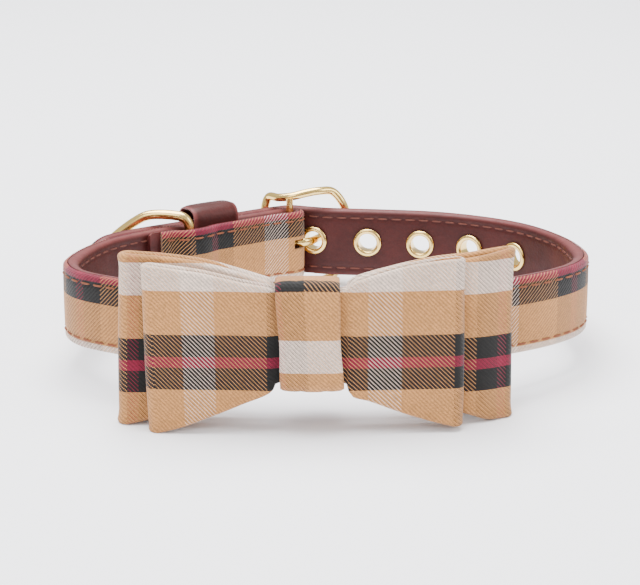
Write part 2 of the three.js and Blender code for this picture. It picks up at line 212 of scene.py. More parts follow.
def tube(
    line: np.ndarray, radius: np.ndarray, facing: np.ndarray, closed: bool, sides: int = 20
) -> np.ndarray:
    """A round wire: c + r (n cos a + b sin a), with n and b square to the line's direction.

    Args:
        line: the wire's middle, n points.
        radius: its radius at each point.
        facing: a direction that the wire never runs along.
        closed: whether the wire is a ring.
        sides: points round the wire.

    Returns:
        An n by sides grid of level points.
    """
    if closed:
        ahead = np.roll(line, -1, axis=0) - np.roll(line, 1, axis=0)
    else:
        ahead = np.gradient(line, axis=0)
    ahead /= np.linalg.norm(ahead, axis=1, keepdims=True)
    normal = np.cross(ahead, facing)
    normal /= np.linalg.norm(normal, axis=1, keepdims=True)
    other = np.cross(ahead, normal)
    angle = np.arange(sides) * TAU / sides
    ring = normal[:, None] * np.cos(angle)[None, :, None] + other[:, None] * np.sin(angle)[None, :, None]
    return line[:, None] + ring * np.reshape(radius, (-1, 1, 1))


def quads(rows: int, columns: int, wrap_rows: bool, wrap_columns: bool) -> tuple[np.ndarray, np.ndarray]:
    """The faces of a grid.

    Args:
        rows: points down the grid.
        columns: points across it.
        wrap_rows: whether the last row joins the first.
        wrap_columns: whether the last column joins the first.

    Returns:
        The four point numbers of each face, and the four corner numbers in a grid that doesn't wrap.
    """
    i, j = np.meshgrid(
        np.arange(rows if wrap_rows else rows - 1),
        np.arange(columns if wrap_columns else columns - 1),
        indexing="ij",
    )
    down = np.stack([i, i + 1, i + 1, i], axis=-1)
    over = np.stack([j, j, j + 1, j + 1], axis=-1)
    points = (down % rows) * columns + over % columns
    corners = down * (columns + int(wrap_columns)) + over
    return points.reshape(-1, 4), corners.reshape(-1, 4)


def surface(
    name: str,
    level: np.ndarray,
    wrap_rows: bool = False,
    wrap_columns: bool = True,
    uv: np.ndarray | None = None,
    rim: np.ndarray | None = None,
    soft_angle: float = 60.0,
) -> bpy.types.Object:
    """Makes a closed piece from a grid of points, its two ends capped where the rows don't wrap.

    Args:
        name: the piece's name.
        level: rows by columns of level points.
        wrap_rows: whether the last row joins the first.
        wrap_columns: whether the last column joins the first.
        uv: cloth coordinates in metres, with one row and one column more where the grid wraps.
        rim: how much each point belongs to the pale rim, from 0 to 1.
        soft_angle: edges sharper than this, in degrees, are shaded as edges.

    Returns:
        The piece, with faces that point outwards.
    """
    rows, columns = level.shape[:2]
    points = STANDING.place(level).reshape(-1, 3)
    faces, corners = quads(rows, columns, wrap_rows, wrap_columns)
    a, b, c, d = (points[faces[:, k]] for k in range(4))
    volume = (np.cross(a, b) * c).sum() + (np.cross(a, c) * d).sum()
    order = slice(None) if volume > 0 else slice(None, None, -1)
    listed = faces[:, order].tolist()
    loops = [corners[:, order].reshape(-1)]
    if not wrap_rows:
        first = np.arange(columns)
        last = first + (rows - 1) * columns
        shift = (rows - 1) * (columns + int(wrap_columns))
        ends = ((first, first), (last[::-1], first[::-1] + shift))
        for ring, ring_corners in ends:
            listed.append(ring[order].tolist())
            loops.append(ring_corners[order])
    mesh = bpy.data.meshes.new(name)
    mesh.from_pydata(points, [], listed)
    if uv is not None:
        layer = mesh.uv_layers.new(name=CLOTH_UV)
        values = uv.reshape(-1, 2)[np.concatenate(loops)]
        layer.uv.foreach_set("vector", values.astype(np.float32).ravel())
    if rim is not None:
        attribute = mesh.attributes.new(RIM, "FLOAT", "POINT")
        attribute.data.foreach_set("value", rim.astype(np.float32).ravel())
    return finished(name, mesh, soft_angle)


def finished(name: str, mesh: bpy.types.Mesh, soft_angle: float = 60.0) -> bpy.types.Object:
    """Shades a mesh smoothly and puts it into the scene.

    Args:
        name: the object's name.
        mesh: the mesh, in the part's frame.
        soft_angle: edges sharper than this, in degrees, are shaded as edges.

    Returns:
        The object, at the origin.
    """
    mesh.polygons.foreach_set("use_smooth", np.ones(len(mesh.polygons), bool))
    mesh.set_sharp_from_angle(angle=math.radians(soft_angle))
    mesh.update()
    made = bpy.data.objects.new(name, mesh)
    bpy.context.scene.collection.objects.link(made)
    return made


def cut_out(piece: bpy.types.Object, cutters: list[bpy.types.Object]) -> None:
    """Cuts solids out of a piece for good, and removes the solids.

    Args:
        piece: the piece to cut.
        cutters: closed solids that don't meet each other.
    """
    for cutter in cutters:
        cut = piece.modifiers.new(cutter.name, "BOOLEAN")
        cut.operation = "DIFFERENCE"
        cut.solver = "EXACT"
        cut.object = cutter
    bpy.context.view_layer.update()
    shown = piece.evaluated_get(bpy.context.evaluated_depsgraph_get())
    mesh = bpy.data.meshes.new_from_object(shown)
    piece.modifiers.clear()
    piece.data = mesh
    mesh.set_sharp_from_angle(angle=math.radians(50))
    for cutter in cutters:
        bpy.data.objects.remove(cutter)


def wear(
    piece: bpy.types.Object,
    finish: bpy.types.Material,
    body: str = BODY,
    stands_for: tuple[str, ...] = (),
) -> bpy.types.Object:
    """Dresses a piece, puts it on its body and hides the solids that it stands for.

    Args:
        piece: the finished piece.
        finish: its material.
        body: the body that it moves with.
        stands_for: the solids that it replaces.

    Returns:
        The piece.
    """
    piece.data.materials.clear()
    piece.data.materials.append(finish)
    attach(piece, body)
    if stands_for:
        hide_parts(*stands_for)
    LOG.info("%s: %d faces", piece.name, len(piece.data.polygons))
    return piece


# Finishes


@dataclass
class Wiring:
    """Adds nodes to one tree and joins them."""

    tree: bpy.types.NodeTree

    def node(self, kind: str, **settings: object) -> bpy.types.Node:
        """Adds a node.

        Args:
            kind: the node's class.
            settings: its properties, by name.

        Returns:
            The node.
        """
        made = self.tree.nodes.new(kind)
        for name, value in settings.items():
            setattr(made, name, value)
        return made

    def feed(self, socket: bpy.types.NodeSocket, value: object) -> None:
        """Joins another node's output to a socket, or sets the socket's own value.

        Args:
            socket: the input to feed.
            value: an output socket, or a plain value.
        """
        if isinstance(value, bpy.types.NodeSocket):
            self.tree.links.new(value, socket)
        else:
            socket.default_value = value

    def maths(self, operation: str, *values: object) -> bpy.types.NodeSocket:
        """Adds a math node.

        Args:
            operation: what it does.
            values: one, two or three inputs, each an output socket or a number.

        Returns:
            Its result.
        """
        made = self.node("ShaderNodeMath", operation=operation)
        for socket, value in zip(made.inputs, values):
            self.feed(socket, value)
        return made.outputs[0]

    def blend(self, share: object, low: object, high: object, kind: str = "MIX") -> bpy.types.NodeSocket:
        """Adds a node that blends two colours.

        Args:
            share: how much of the second colour is taken, from 0 to 1.
            low: the first colour.
            high: the second colour.
            kind: the way in which they blend.

        Returns:
            The blended colour.
        """
        made = self.node("ShaderNodeMix", data_type="RGBA", blend_type=kind)
        for index, value in ((0, share), (6, low), (7, high)):
            self.feed(made.inputs[index], value)
        return made.outputs[2]

    def span(self, value: object, low: float, high: float) -> bpy.types.NodeSocket:
        """Spreads a value over a range.

        Args:
            value: a number from 0 to 1.
            low: what 0 becomes.
            high: what 1 becomes.

        Returns:
            The spread value.
        """
        made = self.node("ShaderNodeMapRange")
        for index, setting in ((0, value), (3, low), (4, high)):
            self.feed(made.inputs[index], setting)
        return made.outputs[0]

    def noise(self, vector: object, scale: float, detail: float = 3.0) -> bpy.types.NodeSocket:
        """Adds a noise texture.

        Args:
            vector: the places that it reads.
            scale: its bumps per metre.
            detail: how many finer layers it has.

        Returns:
            Its value.
        """
        made = self.node("ShaderNodeTexNoise")
        self.feed(made.inputs["Vector"], vector)
        made.inputs["Scale"].default_value = scale
        made.inputs["Detail"].default_value = detail
        return made.outputs[0]


def linear(red: int, green: int, blue: int) -> tuple[float, float, float, float]:
    """Turns a screen colour into linear light.

    Args:
        red: its red, from 0 to 255.
        green: its green, from 0 to 255.
        blue: its blue, from 0 to 255.

    Returns:
        The three linear shares and a full alpha.
    """
    shares = [v / 255 for v in (red, green, blue)]
    light = [v / 12.92 if v <= 0.04045 else ((v + 0.055) / 1.055) ** 2.4 for v in shares]
    return (*light, 1.0)


def effect(
    name: str, inputs: dict[str, float | None], outputs: tuple[str, ...]
) -> bpy.types.ShaderNodeTree:
    """An empty effect group.

    Args:
        name: the group's name.
        inputs: its inputs and their first values, None for a vector.
        outputs: its outputs, each one a number.

    Returns:
        The group, with its sockets made.
    """
    group = bpy.data.node_groups.new(name, "ShaderNodeTree")
    for label, value in inputs.items():
        kind = "NodeSocketVector" if value is None else "NodeSocketFloat"
        socket = group.interface.new_socket(name=label, in_out="INPUT", socket_type=kind)
        if value is not None:
            socket.default_value = value
    for label in outputs:
        group.interface.new_socket(name=label, in_out="OUTPUT", socket_type="NodeSocketFloat")
    return group


def mottle_effect() -> bpy.types.ShaderNodeTree:
    """Makes the group for slow and fine unevenness: coarse noise plus finer noise, weighed 2 to 1.

    Returns:
        The group, with a Place to read and one Tone.
    """
    coarse_share, fine_share = 0.667, 0.333
    group = effect("mottle", {"Place": None, "Scale": 90.0, "Fine Scale": 1500.0}, ("Tone",))
    wires = Wiring(group)
    source = wires.node("NodeGroupInput")
    sink = wires.node("NodeGroupOutput")
    tones = []
    for label in ("Scale", "Fine Scale"):
        noise = wires.node("ShaderNodeTexNoise")
        wires.feed(noise.inputs["Vector"], source.outputs["Place"])
        wires.feed(noise.inputs["Scale"], source.outputs[label])
        noise.inputs["Detail"].default_value = 4.0
        tones.append(noise.outputs[0])
    coarse = wires.maths("MULTIPLY", tones[0], coarse_share)
    wires.feed(sink.inputs["Tone"], wires.maths("MULTIPLY_ADD", tones[1], fine_share, coarse))
    return group


@dataclass
class Finishes:
    """The collar's materials, each made once."""

    mottle: bpy.types.ShaderNodeTree = field(default_factory=mottle_effect)

    def start(self, name: str) -> tuple[bpy.types.Material, Wiring, bpy.types.Node, bpy.types.NodeSocket]:
        """Starts a material.

        Args:
            name: the material's name.

        Returns:
            The material, its tree, its shader, and the places on the object that its patterns read.
        """
        material = bpy.data.materials.new(name)
        material.use_nodes = True
        wires = Wiring(material.node_tree)
        shader = material.node_tree.nodes["Principled BSDF"]
        place = wires.node("ShaderNodeTexCoord").outputs["Object"]
        return material, wires, shader, place

    def tone(
        self, wires: Wiring, place: bpy.types.NodeSocket, scale: float, fine: float
    ) -> bpy.types.NodeSocket:
        """Places the mottle group in a material.

        Args:
            wires: the material's tree.
            place: the places that it reads.
            scale: its coarse bumps per metre.
            fine: its fine bumps per metre.

        Returns:
            The group's tone.
        """
        made = wires.node("ShaderNodeGroup", node_tree=self.mottle)
        wires.feed(made.inputs["Place"], place)
        made.inputs["Scale"].default_value = scale
        made.inputs["Fine Scale"].default_value = fine
        return made.outputs["Tone"]


@dataclass(frozen=True)
class Weave:
    """What a twill weave shows at a place: which thread is on top, and how it bulges."""

    upright_on_top: bpy.types.NodeSocket
    bulge: bpy.types.NodeSocket
    diagonal: bpy.types.NodeSocket
    speck: bpy.types.NodeSocket


@dataclass(frozen=True)
class PlaidCloth:
    """Twill cloth: colours change in bands along both threads and mix where the bands cross.

    The shades are the ranges that the base colour is multiplied by: the speck and mottle shades are
    the threads' own uneven tone, and the range for the twill's ridges is painted shade, darker in the
    grooves between threads and along the ridges. sett is the length of one repeat of the bands.
    """

    camel: tuple[float, ...] = linear(181, 127, 74)
    cream: tuple[float, ...] = linear(214, 192, 176)
    black: tuple[float, ...] = linear(14, 13, 12)
    burgundy: tuple[float, ...] = linear(118, 12, 44)
    thread: float = 0.0003
    sett: float = 0.050
    float_threads: float = 4.0
    float_sharpness: float = 0.4
    float_edge: tuple[float, float] = (0.54, 0.8)
    speck_shade: tuple[float, float] = (0.76, 1.16)
    mottle_shade: tuple[float, float] = (0.8, 1.2)
    painted_groove_shade: tuple[float, float] = (0.62, 1.2)
    relief: float = 0.00016
    roughness: float = 0.86
    gloss: float = 0.25
    sheen: float = 0.18

    def bands(self, wires: Wiring, place: bpy.types.NodeSocket) -> bpy.types.NodeSocket:
        """The colour of the thread at a place along one direction of the cloth.

        Args:
            wires: the material's tree.
            place: metres along that direction.

        Returns:
            The colour: camel, black, burgundy, black, camel and cream, over and over.
        """
        share = wires.maths("FRACT", wires.maths("DIVIDE", place, self.sett))
        ramp = wires.node("ShaderNodeValToRGB")
        ramp.color_ramp.interpolation = "CONSTANT"
        widths = (
            (14, self.camel),
            (6, self.black),
            (3, self.burgundy),
            (6, self.black),
            (12, self.camel),
            (9, self.cream),
        )
        stops = ramp.color_ramp.elements
        reached = 0
        for index, (width, colour) in enumerate(widths):
            stop = stops[index] if index < 2 else stops.new(0.99)
            stop.position = reached / sum(w for w, _ in widths)
            stop.color = colour
            reached += width
        wires.feed(ramp.inputs[0], share)
        return ramp.outputs[0]

    def weave(self, wires: Wiring, along: bpy.types.NodeSocket, up: bpy.types.NodeSocket) -> Weave:
        """The twill: each upright thread floats over two of every four others, one step on each time.

        A float is an arch sin(pi s / 2) along its thread times sin(pi t)^0.4 across it, and it is on
        top where the product passes the float's edge.

        Args:
            wires: the material's tree.
            along: metres along the cloth.
            up: metres up the cloth.

        Returns:
            The weave's masks.
        """
        warp = wires.maths("DIVIDE", along, self.thread)
        weft = wires.maths("DIVIDE", up, self.thread)
        stepped = wires.maths("ADD", wires.maths("FLOOR", warp), weft)
        step = wires.maths("FLOORED_MODULO", stepped, self.float_threads)
        arch = wires.maths("SINE", wires.maths("MULTIPLY", step, math.pi / 2))
        rounds = [
            wires.maths("SINE", wires.maths("MULTIPLY", wires.maths("FRACT", way), math.pi))
            for way in (weft, warp)
        ]
        shape = wires.maths("MULTIPLY", arch, wires.maths("POWER", rounds[1], self.float_sharpness))
        soft_edge = wires.node("ShaderNodeMapRange", interpolation_type="SMOOTHSTEP")
        for index, value in ((0, shape), (1, self.float_edge[0]), (2, self.float_edge[1])):
            wires.feed(soft_edge.inputs[index], value)
        bulge = wires.node("ShaderNodeMix", data_type="FLOAT")
        for index, value in ((0, soft_edge.outputs[0]), (2, rounds[0]), (3, rounds[1])):
            wires.feed(bulge.inputs[index], value)
        diagonal = wires.maths("SINE", wires.maths("MULTIPLY", wires.maths("ADD", warp, weft), TAU / 4))
        cell = wires.node("ShaderNodeCombineXYZ")
        wires.feed(cell.inputs[0], wires.maths("FLOOR", warp))
        wires.feed(cell.inputs[1], wires.maths("FLOOR", weft))
        speck = wires.node("ShaderNodeTexWhiteNoise", noise_dimensions="2D")
        wires.feed(speck.inputs["Vector"], cell.outputs[0])
        return Weave(soft_edge.outputs[0], bulge.outputs[0], diagonal, speck.outputs[0])

    def material(self, finishes: Finishes) -> bpy.types.Material:
        """The cloth's material, which reads the piece's own cloth coordinates in metres.

        Args:
            finishes: where the shared effects are.

        Returns:
            The material.
        """
        material, wires, shader, place = finishes.start("plaid_cloth")
        uv = wires.node("ShaderNodeUVMap", uv_map=CLOTH_UV)
        split = wires.node("ShaderNodeSeparateXYZ")
        wires.feed(split.inputs[0], uv.outputs[0])
        along, up = split.outputs[0], split.outputs[1]
        weave = self.weave(wires, along, up)
        woven = wires.blend(weave.upright_on_top, self.bands(wires, up), self.bands(wires, along))
        wale = wires.maths("MULTIPLY_ADD", weave.diagonal, 0.5, weave.bulge)
        mottle = wires.span(finishes.tone(wires, place, 60.0, 2600.0), *self.mottle_shade)
        shade = wires.maths("MULTIPLY", wires.span(weave.speck, *self.speck_shade), mottle)
        # painted shade: the colour is darkened in the grooves between threads and along the twill's
        # ridges, where shade would fall
        shade = wires.maths("MULTIPLY", shade, wires.span(wale, *self.painted_groove_shade))
        grey = wires.node("ShaderNodeCombineXYZ")
        for socket in grey.inputs:
            wires.feed(socket, shade)
        wires.feed(shader.inputs["Base Color"], wires.blend(1.0, woven, grey.outputs[0], "MULTIPLY"))
        height = wires.maths("MULTIPLY_ADD", weave.diagonal, 0.35, weave.bulge)
        height = wires.maths("MULTIPLY_ADD", wires.noise(place, 2200.0), 0.5, height)
        bump = wires.node("ShaderNodeBump")
        bump.inputs["Strength"].default_value = 0.55
        bump.inputs["Distance"].default_value = self.relief
        wires.feed(bump.inputs["Height"], height)
        wires.feed(shader.inputs["Normal"], bump.outputs[0])
        shader.inputs["Roughness"].default_value = self.roughness
        shader.inputs["Specular IOR Level"].default_value = self.gloss
        shader.inputs["Sheen Weight"].default_value = self.sheen
        shader.inputs["Sheen Roughness"].default_value = 0.5
        return material


@dataclass(frozen=True)
class Leather:
    """Soft smooth leather with a fine grain, paler and pinker along its rim."""

    name: str = "brown_leather"
    colour: tuple[float, ...] = linear(74, 27, 24)
    deep: tuple[float, ...] = linear(42, 14, 13)
    pale_rim: tuple[float, ...] = linear(140, 74, 74)
    roughness: float = 0.46
    gloss: float = 0.24
    cells_per_metre: float = 1500.0
    creases_per_metre: float = 260.0

    def material(self, finishes: Finishes) -> bpy.types.Material:
        """The leather's material, its rim paler where the piece's rim attribute says so.

        Args:
            finishes: where the shared effects are.

        Returns:
            The material.
        """
        material, wires, shader, place = finishes.start(self.name)
        tone = wires.span(finishes.tone(wires, place, 70.0, 900.0), -0.4, 1.5)
        ground = wires.blend(tone, self.deep, self.colour)
        rim = wires.node("ShaderNodeAttribute", attribute_name=RIM).outputs["Fac"]
        # the colour is blended towards a pale pink along the rim, patchy by noise, where the rim
        # attribute says so
        pale_rim_share = wires.maths("MULTIPLY", rim, wires.span(wires.noise(place, 420.0), 0.35, 1.0))
        wires.feed(shader.inputs["Base Color"], wires.blend(pale_rim_share, ground, self.pale_rim))
        cells = wires.node("ShaderNodeTexVoronoi")
        cells.inputs["Scale"].default_value = self.cells_per_metre
        wires.feed(cells.inputs["Vector"], place)
        creases = wires.noise(place, self.creases_per_metre, 5.0)
        height = wires.maths("MULTIPLY_ADD", creases, 1.6, cells.outputs["Distance"])
        bump = wires.node("ShaderNodeBump")
        bump.inputs["Strength"].default_value = 0.35
        bump.inputs["Distance"].default_value = 0.00012
        wires.feed(bump.inputs["Height"], height)
        wires.feed(shader.inputs["Normal"], bump.outputs[0])
        wires.feed(
            shader.inputs["Roughness"], wires.span(creases, self.roughness - 0.12, self.roughness + 0.14)
        )
        shader.inputs["Specular IOR Level"].default_value = self.gloss
        return material


@dataclass(frozen=True)
class GoldMetal:
    """Polished pale gold plating with faint scratches."""

    colour: tuple[float, ...] = linear(250, 214, 132)
    roughness: float = 0.2
    dulled: float = 0.82

    def material(self, finishes: Finishes) -> bpy.types.Material:
        """The metal's material.

        Args:
            finishes: where the shared effects are.

        Returns:
            The material.
        """
        material, wires, shader, place = finishes.start("gold_metal")
        tone = finishes.tone(wires, place, 160.0, 2400.0)
        dull = tuple(self.dulled * v for v in self.colour[:3]) + (1.0,)
        wires.feed(shader.inputs["Base Color"], wires.blend(tone, dull, self.colour))
        roughness = wires.span(tone, self.roughness - 0.07, self.roughness + 0.09)
        wires.feed(shader.inputs["Roughness"], roughness)
        shader.inputs["Metallic"].default_value = 1.0
        bump = wires.node("ShaderNodeBump")
        bump.inputs["Strength"].default_value = 0.08
        bump.inputs["Distance"].default_value = 0.0001
        wires.feed(bump.inputs["Height"], wires.noise(place, 700.0))
        wires.feed(shader.inputs["Normal"], bump.outputs[0])
        return material


@dataclass(frozen=True)
class Thread:
    """Rust brown sewing thread, fuzzy along its length."""

    name: str = "sewing_thread"
    colour: tuple[float, ...] = linear(146, 78, 40)
    dark: tuple[float, ...] = linear(84, 38, 22)

    def material(self, finishes: Finishes) -> bpy.types.Material:
        """The thread's material.

        Args:
            finishes: where the shared effects are.

        Returns:
            The material.
        """
        material, wires, shader, place = finishes.start(self.name)
        tone = wires.span(finishes.tone(wires, place, 900.0, 5200.0), -0.3, 1.4)
        wires.feed(shader.inputs["Base Color"], wires.blend(tone, self.dark, self.colour))
        shader.inputs["Roughness"].default_value = 0.7
        bump = wires.node("ShaderNodeBump")
        bump.inputs["Strength"].default_value = 0.4
        bump.inputs["Distance"].default_value = 0.00008
        wires.feed(bump.inputs["Height"], tone)
        wires.feed(shader.inputs["Normal"], bump.outputs[0])
        return material


# The strap


@dataclass
class Strap:
    """The strap: cloth outside and padded leather inside, folded round the buckle's bar."""

    half_width: float = 10.9
    middle: float = -0.5
    cloth_thick: float = 1.2
    lining_thin: float = 1.75
    lining_padded: float = 3.0
    half_gap: float = 0.15
    bar: tuple[float, float] = (-11.2, 63.4)
    back_deg: float = 36.0
    fold_inner: float = 1.3
    flap_length: float = 53.0
    tip_length: float = 13.0
    cloth_starts: float = 2.6
    step: float = 0.85
    cut_end: float = 1.2
    cut_end_pull: float = 0.7
    padding_run: tuple[float, float, float, float] = (60.0, 90.0, 275.0, 298.0)
    cloth_corner: float = 0.9
    cloth_crown: float = 0.12
    lining_corner: float = 1.5
    lining_crown: float = 0.05
    sett_middle: float = 33.0
    seam_inset: float = 2.7
    seam_reach: float = 0.55
    seam_depth: float = 0.16
    needle_depth: float = 0.13
    stitch_pitch: float = 4.4
    stitch_length: float = 3.3
    stitch_radius: float = 0.27
    stitch_lift: float = 0.22
    ring_along: float = 38.0
    ring_clear: float = 5.0
    plan: np.ndarray = field(
        default_factory=lambda: rows_of(
            (-55.2, 34.6), (-63.4, 26.0), (-69.5, 15.4), (-72.7, 5.0), (-73.2, -3.5), (-69.0, -12.6),
            (-56.4, -21.6), (-40.0, -29.4), (-21.0, -34.6), (-2.0, -36.0), (18.0, -33.8), (36.0, -28.2),
            (51.2, -20.6), (63.4, -12.2), (71.2, -3.6), (74.5, 5.0), (74.2, 15.0), (70.2, 29.0),
            (61.0, 44.6), (48.6, 54.6), (34.5, 61.0), (18.5, 64.0), (8.0, 65.4), (1.0, 66.4),
            (-5.4, 68.5), (-11.2, 70.3),
        )
    )  # fmt: skip
    tail_gap: np.ndarray = field(
        default_factory=lambda: rows_of((4, 0.5), (20, 0.3), (37, 0.3), (56, 0.8), (74, 1.8))
    )
    flap_gap: np.ndarray = field(
        default_factory=lambda: rows_of(
            (0, 2.6), (9, 1.5), (20, 2.0), (29, 2.1), (36, 3.8), (40, 3.8), (47, 1.1), (53, 0.4)
        )
    )
    neck: Line = field(init=False)
    band: Line = field(init=False)

    def __post_init__(self) -> None:
        """Lays the neck's line, then the whole band's line from the flap's end to the tail's tip."""
        back = math.radians(self.back_deg)
        ahead = np.array([-math.cos(back), -math.sin(back)])
        outward = np.array([ahead[1], -ahead[0]])
        bar = np.array(self.bar)
        start = bar + outward * self.fold_line
        straight = start + ahead * np.array([0, 9, 18, 27, 36, 44])[:, None]
        self.neck = Line(smooth_line(np.concatenate([straight, self.plan])))
        tail_along = self.tail_gap[:, 0]
        tail_out = self.cloth_face + self.tail_gap[:, 1] + self.lining_face
        tail = self.neck.at(tail_along) + self.neck.right(tail_along) * tail_out[:, None]
        run = smooth_line(np.concatenate([straight, self.plan, tail]))
        flap_along = np.arange(self.flap_length, 0.01, -self.step)
        flap_in = -2 * self.lining_face - eased(self.flap_gap, flap_along)
        flap = self.neck.at(flap_along) + self.neck.right(flap_along) * flap_in[:, None]
        angle = back - math.pi / 2 + np.linspace(0, math.pi, 24)
        turn = bar + np.stack([np.cos(angle), np.sin(angle)], axis=1) * self.fold_line
        self.band = Line(np.concatenate([flap, turn, run[1:]]))

    @property
    def cloth_face(self) -> float:
        """How far the cloth's face is from the strap's line."""
        return self.half_gap + self.cloth_thick

    @property
    def lining_face(self) -> float:
        """How far the thin lining's face is from the strap's line."""
        return self.half_gap + self.lining_thin

    @property
    def fold_line(self) -> float:
        """The radius of the strap's line round the buckle's bar."""
        return self.fold_inner + self.lining_face

    @property
    def start_of_run(self) -> float:
        """The length along the band at which it leaves the buckle's bar."""
        return float(self.band.length - Line(self.band.points[self._run_index :]).length)

    @property
    def _run_index(self) -> int:
        """The number of the band's first point past the bar."""
        return len(np.arange(self.flap_length, 0.01, -self.step)) + 23

    def stations(self) -> np.ndarray:
        """Lengths along the band at which its sections are set, closer at the tail's tip.

        Returns:
            The lengths, evenly spaced up to the last 3 mm, which follow a sine.
        """
        length = self.band.length
        plain = np.linspace(0, length - 3.0, int((length - 3.0) / self.step))
        tip = length - 3.0 * (1 - np.sin(np.linspace(0, math.pi / 2, 12)[1:]))
        return np.concatenate([plain, tip])

    def half(self, along: np.ndarray) -> np.ndarray:
        """Half the strap's width: full, then an ellipse's quarter into the tip.

        The cut end of the flap is drawn in by a small circle's quarter.

        Args:
            along: lengths along the band.

        Returns:
            The half widths there.
        """
        into = np.clip(along - self.band.length + self.tip_length, 0, None) / self.tip_length
        ellipse = np.sqrt(np.clip(1 - into**2, 0.003, 1))
        end = np.clip(along / self.cut_end, 0, 1)
        return self.half_width * ellipse - self.cut_end_pull * (1 - np.sqrt(1 - (1 - end) ** 2))

    def thick(self, along: np.ndarray) -> np.ndarray:
        """The lining's thickness, padded from the sides round to the front.

        Args:
            along: lengths along the band.

        Returns:
            The thicknesses there.
        """
        thicknesses = (self.lining_thin, self.lining_padded, self.lining_padded, self.lining_thin)
        return eased(rows_of(*zip(self.padding_run, thicknesses)), along - self.start_of_run)

    def seam(self, along: np.ndarray, up: np.ndarray, half: np.ndarray) -> np.ndarray:
        """How deep the seams pull a face in: a narrow bell along each edge, deeper at the needle holes.

        Args:
            along: lengths along the band.
            up: heights from the strap's middle.
            half: half widths.

        Returns:
            The depths of the seams there.
        """
        inset = (half - np.abs(up) - self.seam_inset) / self.seam_reach
        holes = 0.5 + 0.5 * np.cos(TAU * along / self.stitch_pitch)
        return np.exp(-(inset**2)) * (self.seam_depth + self.needle_depth * holes)

    def section(
        self, face: float, thick: np.ndarray, corner: float, along: np.ndarray, crown: float
    ) -> tuple[np.ndarray, np.ndarray, np.ndarray, np.ndarray]:
        """The outline of a layer cut across: a soft face with rounded corners and a plain back.

        The face runs along x = face * (thick + crown (1 - (z / half)^2)) less its seams, its corners are
        ellipse quarters, and the back is straight.

        Args:
            face: 1 for the cloth's side and -1 for the lining's.
            thick: the layer's thickness at each station.
            corner: the corners' reach along the height.
            along: the stations.
            crown: how far the middle of the face stands proud of its edges.

        Returns:
            The across and up distances, the girth from the lower back corner, and the rim's share,
            each stations by outline points.
        """
        count, face_points, back_points = len(along), 28, 4
        half = self.half(along)[:, None]
        depth = thick[:, None]
        reach = np.minimum(corner, 0.6 * half)
        quarter = np.linspace(0, math.pi / 2, 7)
        face_up = np.linspace(-1, 1, face_points + 2)[None, 1:-1] * (half - reach)
        full = depth + crown * (1 - (face_up / half) ** 2) - self.seam(along[:, None], face_up, half)
        low_out = depth * np.sin(quarter)[None]
        low_up = -half + reach * (1 - np.cos(quarter))[None]
        back_up = np.linspace(1, -1, back_points + 2)[None, 1:-1] * half
        out = np.concatenate([low_out, full, low_out[:, ::-1], np.zeros((count, back_points))], axis=1)
        up = np.concatenate([low_up, face_up, -low_up[:, ::-1], back_up], axis=1)
        out = self.half_gap + out
        steps = np.hypot(np.diff(out, axis=1, append=out[:, :1]), np.diff(up, axis=1, append=up[:, :1]))
        girth = np.concatenate([np.zeros((count, 1)), np.cumsum(steps, axis=1)], axis=1)
        edge = np.cos(quarter) ** 2 * np.sin(quarter + 0.35)
        rim = np.concatenate([edge, np.zeros(face_points), edge[::-1], np.zeros(back_points)])
        rim = np.broadcast_to(rim, (count, len(rim)))
        return face * out, up, girth, rim

    def layer(self, name: str, face: Face) -> bpy.types.Object:
        """One layer of the band, swept from the flap's end to the tail's tip.

        Args:
            name: the piece's name.
            face: OUTER for the cloth and INNER for the leather.

        Returns:
            The piece, with cloth coordinates along the band and round its section.
        """
        along = self.stations()
        if face is Face.OUTER:
            along = along[along > self.cloth_starts]
            thick = np.full(len(along), self.cloth_thick)
            across, up, girth, rim = self.section(1, thick, self.cloth_corner, along, self.cloth_crown)
        else:
            thick = self.thick(along)
            across, up, girth, rim = self.section(-1, thick, self.lining_corner, along, self.lining_crown)
            ripple = np.sin(along / 5.3 + 0.8 * np.sin(along / 17.0)) * np.sin(along / 11.0)
            across -= 0.07 * ripple[:, None] * (np.abs(up) < 8) * (thick[:, None] > 2.2)
        grid = swept(self.band.at(along), self.band.right(along), across, up + self.middle)
        cloth_up = self.sett_middle + self.half_width - girth
        around = np.stack(np.broadcast_arrays(along[:, None], cloth_up), axis=-1) / MM_PER_METRE
        return surface(name, grid, uv=around, rim=rim, soft_angle=70)

